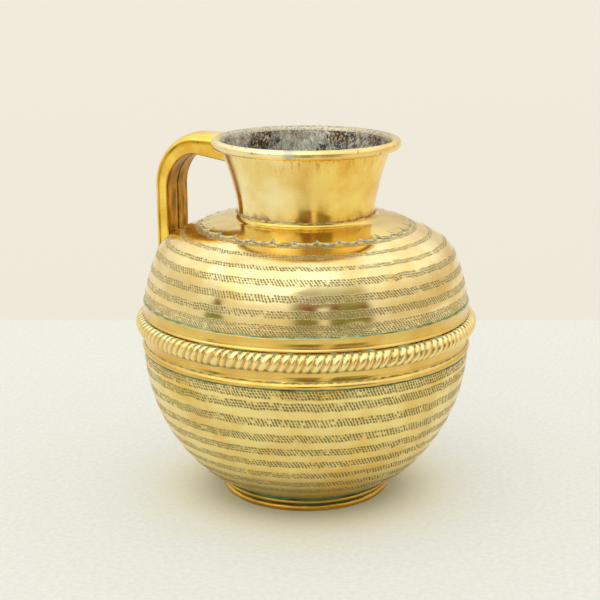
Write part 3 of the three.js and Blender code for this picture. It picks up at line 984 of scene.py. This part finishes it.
def tin_finish():
    """Wiped tin: dark grey clouds, pale scratches, and brass showing through near the rim."""
    finish = Finish("tin_wipe", bump=0.3)
    spot = finish.tree.spot()
    _, _, height = finish.tree.place()
    clouds = spot.noise(38, 8, 1)
    shade = (clouds + (spot.noise(260, 4, 8) - 0.5) * 0.7).ramp(0.4, 0.64)
    color = shade.blend(tone(50, 52, 47), tone(166, 165, 150))
    tilted = spot.stretched((1300, 180, 260), (0.5, 0.9, 0.3))
    crossed = spot.stretched((210, 1400, 190), (0.2, -0.7, 1.2))
    streaks = tilted.noise(1, 2, 2).larger(crossed.noise(1, 2, 3))
    scratches = (streaks + clouds * 0.3).ramp(0.72, 0.8)
    specks = spot.noise(600, 3, 4).ramp(0.54, 0.6)
    near_rim = (height - clouds * 16).ramp(238, 248)
    color = (scratches * 0.6).blend(color, tone(226, 226, 216))
    return finish.done(
        clouds * 0.6 + streaks * 0.5,
        base_color=(specks * (0.12 + near_rim * 0.9)).blend(color, tone(184, 142, 88)),
        roughness=0.34 - scratches * 0.1 + clouds * 0.25,
        metallic=0.95 - clouds * 0.25,
    )


def crust_finish(name, pale, dark, metallic, roughness, cloud_size=2.5):
    """Solder or tarnish that has dried in a joint: two colours in small clouds."""
    finish = Finish(name, bump=0.2)
    spot = finish.tree.spot()
    clouds = spot.noise(1 / (cloud_size * MM), 3, 1)
    grain = spot.noise(2200, 2, 2)
    return finish.done(
        clouds * 0.6 + grain * 0.4,
        base_color=clouds.ramp(0.35, 0.65).blend(pale, dark),
        roughness=roughness + grain * 0.15,
        metallic=metallic - clouds * 0.1,
    )


SHELL_BRASS = punched_brass()
BAND_BRASS = worn_brass(
    "band_brass",
    green=0.55,
    bright=tone(238, 204, 114),
    warm=tone(212, 158, 60),
    cloud_size=22,
    roughness=0.14,
    lines=0.5,
    dents=0.5,
)
ROPE_BRASS = rope_finish()
COLLAR_BRASS = worn_brass(
    "collar_brass",
    green=0.4,
    bright=tone(236, 208, 116),
    warm=tone(204, 164, 62),
    cloud_size=18,
    roughness=0.13,
    lines=0.1,
    dents=0.8,
)
NECK_BRASS = neck_finish()
HANDLE_BRASS = handle_finish()
FOOT_BRASS = worn_brass(
    "foot_brass",
    green=0.6,
    bright=tone(214, 166, 66),
    warm=tone(160, 110, 34),
    roughness=0.22,
    lines=0.4,
    dents=1.5,
)
WIRE_BRASS = worn_brass("wire_brass", roughness=0.3)
TIN = tin_finish()
SOLDER = crust_finish("solder_grey", tone(216, 217, 200), tone(150, 154, 128), 0.5, 0.35)
VERDIGRIS = crust_finish("verdigris", tone(170, 200, 165), tone(112, 146, 106), 0, 0.6, 9)
DARK_VERDIGRIS = crust_finish("dark_verdigris", tone(92, 118, 72), tone(56, 58, 26), 0.1, 0.6, 12)

HAMMERED = hammered_tree()
ROPE_LOBED = rope_tree()
SCALLOPED = scallop_tree()
SEAM = seam_tree()


def keep(piece, slot, *nodes):
    """The piece rides on the pot and stands for its nodes; its slot is not used."""
    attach(piece, "root")
    if nodes:
        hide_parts(*nodes)


# Punched rings on a shell's outline


def ring_rows(outline, heights, widths, depth):
    """The outline's points with rows at the rings' edges, each one's ring place and mark count.
    A ring's whole number is its place in the list, and it spans a quarter to three quarters."""
    distances = walked(outline)
    radii, levels = np.array(outline).T
    centres = np.interp(heights, levels, distances)
    places, spots = [centres[0] - widths[0] / 2 - 4], [0]
    for index, (centre, width) in enumerate(zip(centres, widths)):
        places += [centre - width / 2, centre + width / 2]
        spots += [index + 0.25, index + 0.75]
    places.append(centres[-1] + widths[-1] / 2 + 4)
    spots.append(len(heights))
    marks = np.round(TAU * np.interp(centres, distances, radii) / MARK_PITCH)
    rows = [distances[0]]
    for start, end in zip(places, places[1:]):
        rows += list(np.linspace(start, end, max(2, round((end - start) / 0.9)), endpoint=False))
    rows = [row for row in rows + [places[-1]] if distances[0] <= row <= distances[-1]]
    before = np.linspace(distances[0], rows[1], 6)[1:-1] if rows[1] - distances[0] > 2 else []
    after = np.linspace(rows[-1], distances[-1], 6)[1:]
    rows = np.unique(np.round([*rows, *before, *after], 3))
    ring = np.interp(rows, places, spots)
    relief = depth * np.sin(np.pi * ring) ** 2
    count = np.interp(rows, places[1:-1], np.repeat(marks, 2))
    return offset_outline(resampled(outline, rows), relief), ring, count


# Pieces of sheet brass


def make_lower_bowl():
    widths = [BOWL_RING_WIDTH] * len(BOWL_RINGS)
    outer, ring, marks = ring_rows(bowl_outline(), BOWL_RINGS, widths, BOWL_RING_RELIEF)
    radius = LAP_RADIUS - SHELL_WALL - SOLDER_GAP
    set_in = (radius, BAND_BOTTOM + SET_IN_HEIGHT)
    rim = bezier(outer[-1], (radius + 0.6, BAND_BOTTOM + 1), set_in, 6)[1:]
    rim.append((radius, BOWL_RIM_HEIGHT))
    plain = resampled(bowl_outline(), np.linspace(0, walked(bowl_outline())[-1], 80)) + rim
    heights = np.array(outer)[:, 1]
    piece = turned(
        "punched_lower_bowl",
        outer + rim + offset_outline(plain, SHELL_WALL)[::-1],
        ring=ring,
        marks=marks,
        hollow=0.95 * fade(heights, 12.5, 20) + 0.8 * grow(heights, 107.5, 110.5),
        outer=grow(heights, 10, 16) * fade(heights, 104, 110),
    )
    shape(piece, HAMMERED, SHELL_BRASS, dent_depth=0.5, dent_size=19, wander=0.5, seed=2)
    keep(piece, "body_brass", "lower_bowl")


def make_shoulder():
    face = shoulder_outline()
    rings = (SHOULDER_RINGS, SHOULDER_RING_WIDTHS, SHOULDER_RING_RELIEF)
    outer, ring, marks = ring_rows(face, *rings)
    lap = [(LAP_RADIUS, LAP_BOTTOM), (LAP_RADIUS, BAND_TOP)]
    radii, heights = np.array(outer).T
    piece = turned(
        "punched_shoulder",
        outer + offset_outline(lap + face, SHELL_WALL)[::-1] + lap,
        ring=ring,
        marks=marks,
        hollow=0.7 * fade(heights, BAND_TOP, BAND_TOP + 3.9),
        outer=grow(radii, 72, 82) * grow(heights, 146, 150),
    )
    shape(piece, HAMMERED, SHELL_BRASS, dent_depth=0.22, dent_size=17, wander=0.35, seed=5)
    keep(piece, "body_brass", "shoulder_shell")


def make_band():
    seat = ROPE_SEAT_RADIUS
    foot_radius = BOWL_RADIUS * math.cos(math.radians(bowl_angle(BAND_BOTTOM))) + SOLDER_GAP
    bead_top = (seat - BEAD_TOP_INSET, BAND_BOTTOM + BEAD_HEIGHT)
    fillet_bottom = (seat, ROPE_TOP + SOLDER_GAP)
    fillet_top = (seat, fillet_bottom[1] + BAND_FILLET_HEIGHT)
    band_top = (seat + SOLDER_GAP, BAND_TOP - BAND_EDGE)
    outer = bowed((foot_radius + BAND_EDGE, BAND_BOTTOM), bead_top, BEAD_RISE, 16)
    outer += bowed(bead_top, (seat, ROPE_BOTTOM), -LOWER_COVE, 16)[1:]
    outer += bowed(fillet_bottom, fillet_top, BAND_FILLET_RISE, 10)
    outer += bowed(fillet_top, band_top, -UPPER_COVE, 14)[1:]
    outer += arc((band_top[0] - BAND_EDGE, band_top[1]), BAND_EDGE, 0, 90, 5)[1:]
    inner = [
        (LAP_RADIUS + SOLDER_GAP, BAND_TOP),
        (LAP_RADIUS + SOLDER_GAP, LAP_BOTTOM - SOLDER_GAP),
        (LAP_RADIUS - SHELL_WALL, LAP_BOTTOM - SOLDER_GAP),
        (LAP_RADIUS - SHELL_WALL, BAND_BOTTOM + SET_IN_HEIGHT),
        (foot_radius, BAND_BOTTOM),
    ]
    heights = np.array(outer)[:, 1]
    hollow = 0.75 * fade(heights, BAND_BOTTOM + 0.2, BAND_BOTTOM + 1.6)
    for amount, height, low, high in (
        (0.62, bead_top[1], 0.2, 1.2),
        (0.5, ROPE_BOTTOM, 0.3, 1.6),
        (0.4, ROPE_TOP, 0.3, 1.1),
        (0.25, fillet_top[1], 0.1, 1.3),
        (0.3, BAND_TOP, 0.2, 0.8),
    ):
        hollow = np.maximum(hollow, amount * fade(abs(heights - height), low, high))
    shown = (heights > BAND_BOTTOM + 1) * (heights < BAND_TOP - 1.5)
    piece = turned("coved_band", outer + inner, columns=360, hollow=hollow, outer=shown)
    shape(piece, HAMMERED, BAND_BRASS, dent_depth=0.22, dent_size=12, wander=0, seed=3)
    keep(piece, "band_brass", "belly_band")


def make_rope():
    seat = (ROPE_SEAT_RADIUS + SOLDER_GAP, ROPE_CENTRE_HEIGHT)
    face = ellipse_arc(seat, ROPE_DEPTH, ROPE_HEIGHT / 2, -90, 90, 14)
    piece = turned("rope_of_lobes", face, columns=ROPE_LOBES * 12)
    keep(shape(piece, ROPE_LOBED, ROPE_BRASS), "rope_brass", "rope_moulding")


def make_collar():
    riser = MOUTH_RADIUS + COLLAR_WALL
    radii = np.linspace(MOUTH_RADIUS, SCALLOP_TIP_RADIUS, 28)
    under = [(radius, crown_height_at(radius) + SOLDER_GAP) for radius in radii]
    radii = np.linspace(SCALLOP_TIP_RADIUS, riser + COLLAR_FILLET, 22)
    over = [(radius, crown_height_at(radius) + SOLDER_GAP + COLLAR_WALL) for radius in radii]
    corner = (riser, crown_height_at(riser) + SOLDER_GAP + COLLAR_WALL)
    fillet = bezier(over[-1], corner, (riser, COLLAR_TOP), 12)[1:]
    hollow = [0] * len(under) + list(0.5 * grow(radii, 73.5, 76.5))
    hollow += [0] * (len(fillet) - 3) + [0.3, 0.5, 0.6]
    outline = under + over + fillet + [(MOUTH_RADIUS, COLLAR_TOP)]
    piece = turned("scalloped_collar", outline, columns=SCALLOPS * 14, hollow=hollow)
    keep(shape(piece, SCALLOPED, COLLAR_BRASS), "collar_brass", "neck_collar")


def make_neck():
    outer = neck_outline()
    radii, heights = np.array(outer).T
    under_rim = fade(abs(heights - (RIM_CENTRE[1] - RIM_BEAD_RADIUS)), 0.5, 2.6)
    under_rim *= radii < RIM_CENTRE[0] + 1
    piece = turned(
        "flared_neck",
        outer + offset_outline(outer, NECK_WALL)[::-1],
        columns=240,
        hollow=0.5 * fade(heights, COLLAR_TOP, COLLAR_TOP + 3) + 0.5 * under_rim,
        outer=(heights > COLLAR_TOP + 2) * (heights < RIM_LINE - 2),
    )
    shape(piece, HAMMERED, NECK_BRASS, dent_depth=0.25, dent_size=24, wander=0.3, seed=8)
    keep(piece, "neck_brass", "neck")


def make_foot():
    bore, waist = FOOT_BORE_RADIUS, FOOT_WAIST_RADIUS
    land = bore + FOOT_CHAMFER + FOOT_LAND_WIDTH
    top = BASE_HEIGHT - SOLDER_GAP
    outline = [
        (bore + FOOT_CHAMFER, 0),
        *bowed((land, 0), (land, FOOT_BEAD_HEIGHT), FOOT_BEAD_RISE, 14),
        (waist, FOOT_BEAD_HEIGHT + 0.1),
        (waist, FOOT_WAIST_HEIGHT - 0.1),
        *bowed((FOOT_RADIUS, FOOT_WAIST_HEIGHT), (FOOT_RADIUS - FOOT_CHAMFER, top), 0.45, 8),
        (bore, top),
        (bore, FOOT_CHAMFER),
    ]
    heights = np.array(outline)[:, 1]
    hollow = np.maximum(fade(abs(heights - 6), 0.7, 1.3), 0.8 * fade(heights, 0.1, 0.7))
    shown = (heights > 0.5) * (heights < 5)
    piece = turned("foot_of_pot", outline, columns=240, hollow=hollow, outer=shown)
    shape(piece, HAMMERED, FOOT_BRASS, dent_depth=0.9, dent_size=9, wander=0, seed=4)
    keep(piece, "foot_brass", "foot_ring")


def make_tin():
    """The tin wipe: a thin coat over every inner face, from the floor to the rim."""
    rim_inner = LAP_RADIUS - 2 * SHELL_WALL - SOLDER_GAP
    joint = [
        (rim_inner, BAND_BOTTOM + SET_IN_HEIGHT),
        (rim_inner, BOWL_RIM_HEIGHT),
        (LAP_RADIUS - SHELL_WALL, BOWL_RIM_HEIGHT + 0.5),
    ]
    neck = offset_outline(neck_outline(), NECK_WALL)
    low = neck[0][1] - 0.3
    foot = [(neck[0][0] + NECK_WALL, low), (neck[0][0], low)]
    rolled = [(r, z) for r, z in neck if z < RIM_CENTRE[1] + 1.2 and r < RIM_CENTRE[0] - 2]
    shoulder = offset_outline(shoulder_outline(), SHELL_WALL)
    shoulder = [point for point in shoulder if point[0] > foot[0][0] + 1.5]
    back = offset_outline(bowl_outline(), SHELL_WALL) + joint + shoulder + foot + rolled
    piece = turned("tin_wipe", back + offset_outline(back, TIN_COAT)[::-1], columns=240)
    piece.data.materials.append(TIN)
    keep(piece, "tin_lining")


# The folded handle


def handle_line():
    """The handle's corner line from the rim to the shoulder, and its side's depth along it."""
    top = RIM_CENTRE[1] + RIM_BEAD_RADIUS - HANDLE_TOP_DROP
    bend_centre = (HANDLE_REACH - HANDLE_BEND_REACH, top - HANDLE_BEND_DROP)
    bend = ellipse_arc(bend_centre, HANDLE_BEND_REACH, HANDLE_BEND_DROP, 90, 0, 48)
    arm_height = top - HANDLE_ARM_SLOPE * (bend_centre[0] - NECK_RADIUS)
    leg_height = TURN_CENTRE[1] - HANDLE_SUNK_END
    leg_radius = HANDLE_REACH - HANDLE_LEG_LEAN * (bend_centre[1] - leg_height)
    arm = bowed((NECK_RADIUS, arm_height), (bend_centre[0], top), 0, 13)
    leg = bowed((HANDLE_REACH, bend_centre[1]), (leg_radius, leg_height), 0, 29)
    line = arm[:-1] + bend + leg[1:]
    sides = np.interp(
        range(len(line)),
        [0, len(arm) - 1, len(arm) + len(bend) - 2, len(line) - 1],
        [HANDLE_NECK_SIDE, HANDLE_ARM_SIDE, HANDLE_LEG_SIDE, HANDLE_LEG_SIDE],
    )
    return line, sides


def folded_section(side):
    """The strip's section from the seam round to it again, as (across, depth, hollow)."""
    half = HANDLE_WIDTH / 2
    points = [(0, side - 0.95, 1), (0.28, side - 0.25, 0.8), (0.9, side - 0.02, 0.5)]
    points += [(x, side, 0.12) for x in np.linspace(2.5, half - HANDLE_CHAMFER - 0.3, 6)]
    corner = (half - 0.15, side - 0.15)
    chamfer = bezier((half - HANDLE_CHAMFER, side), corner, (half, side - HANDLE_CHAMFER), 4)
    points += [(x, y, 0.1) for x, y in chamfer]
    points += [(half, y, 0) for y in np.linspace(side - HANDLE_CHAMFER - 0.6, 0.8, 5)]
    points += [(x, y, 0) for x, y in ellipse_arc((0, 0), half, -HANDLE_CROWN, 4, 90, 14)]
    return points + [(-x, y, hollow) for x, y, hollow in points[-2:0:-1]]


def neck_reach(heights):
    """The radius of the neck's outer face, its rim among it, at each height."""
    flare = offset_outline(flare_outline(), -NECK_WALL / 2)
    radii, levels = np.array(flare).T
    flared = np.interp(heights, levels, radii)
    over = np.clip(RIM_BEAD_RADIUS**2 - (heights - RIM_CENTRE[1]) ** 2, 0, None)
    return np.maximum(flared, np.where(over > 0, RIM_CENTRE[0] + np.sqrt(over), 0))


def make_handle():
    line, sides = handle_line()
    inward = np.array(offset_outline(line, -1)) - np.array(line)
    sections, hollow = [], []
    for (radius, height), (in_r, in_z), side in zip(line, inward, sides):
        loop = folded_section(side)
        sections.append([(-radius - in_r * y, x, height + in_z * y) for x, y, _ in loop])
        hollow += [h for *_, h in loop]
    sections = np.array(sections)
    reach = neck_reach(sections[0, :, 2])
    at_neck = -np.sqrt(np.maximum((reach + 0.1) ** 2 - sections[0, :, 1] ** 2, 0))
    for k in range(14):
        sections[k, :, 0] = np.minimum(sections[k, :, 0], at_neck - 0.3 * k)
    across, along, heights = sections[-1].T
    radii, levels = np.array(shoulder_outline())[::-1].T
    landing = np.interp(np.hypot(across, along), radii, levels, left=250, right=heights.min())
    landing = np.maximum(landing, heights)
    for k in range(1, 24):
        sections[-k, :, 2] = np.maximum(sections[-k, :, 2], landing + 0.05 + 0.7 * (k - 1))
    ends = np.zeros(sections.shape[:2])
    ends[:7] = np.linspace(0.4, 0, 7)[:, None]
    ends[-4:] = [[0.1], [0.25], [0.5], [0.7]]
    hollow = np.maximum(hollow, ends.ravel())
    depths = np.array([depth for _, depth, _ in folded_section(1)])
    values = {
        "hollow": hollow,
        "inner": np.tile(fade(1 - depths, 0.2, 0.9), len(sections)),
        "outer": np.ones(hollow.size),
    }
    piece = lofted("folded_handle", sections.tolist(), **values)
    shape(piece, HAMMERED, HANDLE_BRASS, dent_depth=0.25, dent_size=11, wander=0.3, seed=6)
    keep(piece, "handle_brass", "handle")


# Solder and tarnish in the joints


def add_seam(name, finish, radius, height, steps=360, **sizes):
    piece = shape(ring_path(name, radius, height, steps), SEAM, finish, **sizes)
    keep(piece, "solder_grey" if finish is SOLDER else "verdigris")


def make_seams():
    tip, rope = SCALLOP_TIP_RADIUS, ROPE_SEAT_RADIUS
    add_seam(
        "collar_top_solder", SOLDER, NECK_RADIUS + 0.5, COLLAR_TOP + 0.1, bead_radius=0.42,
        cover=0.45, unevenness=0.7, uneven_size=12, heavy_side=-2.6, side_bias=0.9, seed=1,
    )
    add_seam(
        "scallop_solder", SOLDER, tip, crown_height_at(tip) + 0.25, 1800, bead_radius=0.55,
        unevenness=0.7, uneven_size=5, cusp_swelling=1.2, cusp_reach=1.4, seed=2,
    )
    add_seam(
        "band_top_tarnish", VERDIGRIS, LAP_RADIUS + 0.75, BAND_TOP + 0.05,
        bead_radius=0.52, unevenness=0.9, uneven_size=14, seed=3,
    )
    add_seam(
        "band_bottom_tarnish", DARK_VERDIGRIS, BOWL_RADIUS + 0.15, BAND_BOTTOM - 0.1,
        bead_radius=0.75, unevenness=0.7, uneven_size=16, seed=4,
    )
    add_seam(
        "rope_bottom_tarnish", VERDIGRIS, rope + 0.55, ROPE_BOTTOM - 0.1, 720,
        bead_radius=0.45, cover=0.1, unevenness=4, uneven_size=11, seed=5,
    )
    add_seam(
        "rope_top_tarnish", VERDIGRIS, rope + 0.4, ROPE_TOP + 0.15, 720,
        bead_radius=0.35, cover=0.1, unevenness=4, uneven_size=11, seed=6,
    )
    add_seam(
        "foot_tarnish", DARK_VERDIGRIS, FOOT_RADIUS - 1, BASE_HEIGHT + 0.1, 300,
        bead_radius=1.25, unevenness=0.35, uneven_size=12, seed=7,
    )


make_lower_bowl()
make_shoulder()
make_band()
make_rope()
make_collar()
make_neck()
make_foot()
make_tin()
make_handle()
make_seams()
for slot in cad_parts["rim_wire"].material_slots:
    slot.material = WIRE_BRASS


# Floor, light and camera


def card_material(near, far):
    """Pale card that takes shadows. Near the pot a warm tint is painted light thrown off the brass,
    and the card's glow rises away from the pot, painting light over the outer part of the shadow.
    Past the line behind the pot it is a plain wall's colour, for the camera and in reflections."""
    finish = Finish("pale_card", roughness=0.9, emission_strength=1)
    finish.shader.inputs["Specular IOR Level"].default_value = 0.1
    tree = finish.tree
    _, radius, _ = tree.place()
    _, ahead = camera_sides(tree.spot())
    wall = (ahead / -MM).ramp(WALL_LINE - 4, WALL_LINE + 4)
    path = tree.add("ShaderNodeLightPath")
    lit = wall * tree.out(path, "Is Camera Ray").larger(tree.out(path, "Is Glossy Ray"))
    grain = tree.spot().noise(260, 3, 1) - 0.5
    darker, paler = (tone(*[c + change for c in near]) for change in (-7, 5))
    speckle_and_painted_bounce = (0.5 + grain * 2).blend(darker, paler)
    # Painted light: a warm tint round the pot stands for light thrown off the brass.
    speckle_and_painted_bounce = radius.ramp(60, 150, 0.6, 0).blend(speckle_and_painted_bounce, tone(224, 213, 166))
    # Painted light: the glow rises away from the pot and lightens the outer part of its shadow.
    glow = radius.ramp(60, 115, 0.1, 0.5)
    return finish.done(
        base_color=lit.blend(glow.blend(speckle_and_painted_bounce, BLACK), BLACK),
        emission_color=lit.blend((glow * 1.18).blend(BLACK, speckle_and_painted_bounce), tone(*far)),
    )


def add_card(name, corners, material):
    card = bare_mesh(name, corners, faces=[(0, 1, 2, 3)])
    card.data.materials.append(material)
    card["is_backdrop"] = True
    return card


def make_floor():
    reach = 30000
    corners = [(-reach, -reach, 0), (reach, -reach, 0), (reach, reach, 0), (-reach, reach, 0)]
    add_card("pale_table", corners, card_material((222, 221, 211), (237, 231, 216)))


def dark_patches_group():
    """Olive and brown patches with bright holes between them."""
    inputs = {"Across": 0, "Up": 0, "Cover": 0.5}
    tree, given = shade_group("dark_patches", inputs, "Color", "Amount")
    spot = tree.vector(given["Across"], given["Up"])
    amount = (spot.noise(3.2, 3, 1) + given["Cover"] - 0.5).ramp(0.45, 0.51)
    hue = spot.noise(2.4, 2, 4).ramp(0.5, 0.6)
    color = hue.blend(tone(134, 134, 70), tone(122, 66, 40))
    return tree.give(Color=color, Amount=amount)


def make_dark_ground(patches):
    """What lies past the near edge of the table. Only the pot's polish sees it."""
    finish = Finish("dark_ground", base_color=BLACK, emission_strength=1)
    tree = finish.tree
    side, ahead = camera_sides(tree.spot())
    slant = side / ahead
    dark = tree.use(patches, across=slant * 1.3, up=0.5 / ahead, cover=0.68)
    middle = slant.near(0.3, 0.45, 0.6) * (1 - slant.near(0.24, 0.05, 0.1))
    post = slant.near(-2.3, 0.3, 0.4)
    amount = (dark["Amount"] * middle).larger(post)
    finish.done(emission_color=amount.blend(tone(232, 224, 200), dark["Color"]))
    cosine, sine = math.cos(CAMERA_TURN), math.sin(CAMERA_TURN)
    spans = ((-3000, 430), (1500, 430), (1500, 3000), (-3000, 3000))
    corners = [(cosine * a + sine * b, sine * a - cosine * b, 1) for a, b in spans]
    card = add_card("dark_ground", corners, finish.material)
    card.visible_camera = card.visible_diffuse = card.visible_shadow = False


def make_world(patches):
    """Pale for the camera. For the pot: a bright sky over a pale room, warm on the right, with
    dark patches and a dark post towards the camera."""
    world = bpy.data.worlds.new("soft_room")
    bpy.context.scene.world = world
    world.use_nodes = True
    tree = Tree(world.node_tree)
    spot = tree.out(tree.add("ShaderNodeTexCoord"), "Generated")
    side, ahead = camera_sides(spot)
    _, _, z = spot.split()
    around = side.math("ARCTAN2", ahead)
    room = z.ramp(0.05, 0.6).blend(tone(240, 235, 218), tone(252, 254, 255))
    warm = around.ramp(0.5, 1.6) * z.fall(0.1, 0.5)
    room = (warm * 0.25).blend(room, tone(214, 160, 84))
    dark = tree.use(patches, across=around * 1.3, up=z * 1.7, cover=0.62)
    gap = 1 - around.near(0.22, 0.04, 0.09)
    middle = around.near(0.32, 0.42, 0.56) * gap.larger(z.ramp(0.3, 0.36))
    middle = middle * z.fall(0.5, 0.64) * z.ramp(0.3, 0.5, 1, 0.6)
    slim = z.ramp(0.14, 0.18, 0.13, 0.06)
    post = (around + 1.15).magnitude().math("LESS_THAN", slim)
    post = post * z.fall(0.26, 0.34)
    room = (middle * dark["Amount"]).larger(post).blend(room, dark["Color"])
    seen = tree.out(tree.add("ShaderNodeLightPath"), "Is Camera Ray")
    light = world.node_tree.nodes["Background"].inputs
    tree.feed(light["Color"], seen.blend(room, tone(236, 229, 212)))
    tree.feed(light["Strength"], z.ramp(0.1, 0.7, 0.92, 1.2) * (1 - seen) + seen)


def add_sky_light():
    """A broad soft light from high on the left."""
    light = bpy.data.lights.new("soft_sky", "SUN")
    light.angle = math.radians(75)
    light.energy = 0.45
    lamp = linked(bpy.data.objects.new("soft_sky", light))
    lamp.rotation_euler = (math.radians(32), 0, math.radians(CAMERA_AZIMUTH - 45))


def make_camera():
    camera = bpy.data.cameras.new("photograph_view")
    camera.lens = CAMERA_LENS
    camera.sensor_width = 36
    camera.shift_x = CAMERA_SHIFT
    camera.clip_start = 0.05
    eye = linked(bpy.data.objects.new("photograph_view", camera))
    out = CAMERA_DISTANCE * MM
    eye.location = (out * math.sin(CAMERA_TURN), -out * math.cos(CAMERA_TURN), CAMERA_HEIGHT * MM)
    eye.rotation_euler = (math.radians(90 - CAMERA_PITCH), 0, CAMERA_TURN)
    bpy.context.scene.camera = eye


DARK_PATCHES = dark_patches_group()
make_floor()
make_dark_ground(DARK_PATCHES)
make_world(DARK_PATCHES)
add_sky_light()
make_camera()
bpy.context.scene.view_settings.view_transform = "Standard"

seen_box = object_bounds()
boxes = {"cad": cad_box, "scene": seen_box}
plain = {name: [[float(c) for c in corner] for corner in box] for name, box in boxes.items()}
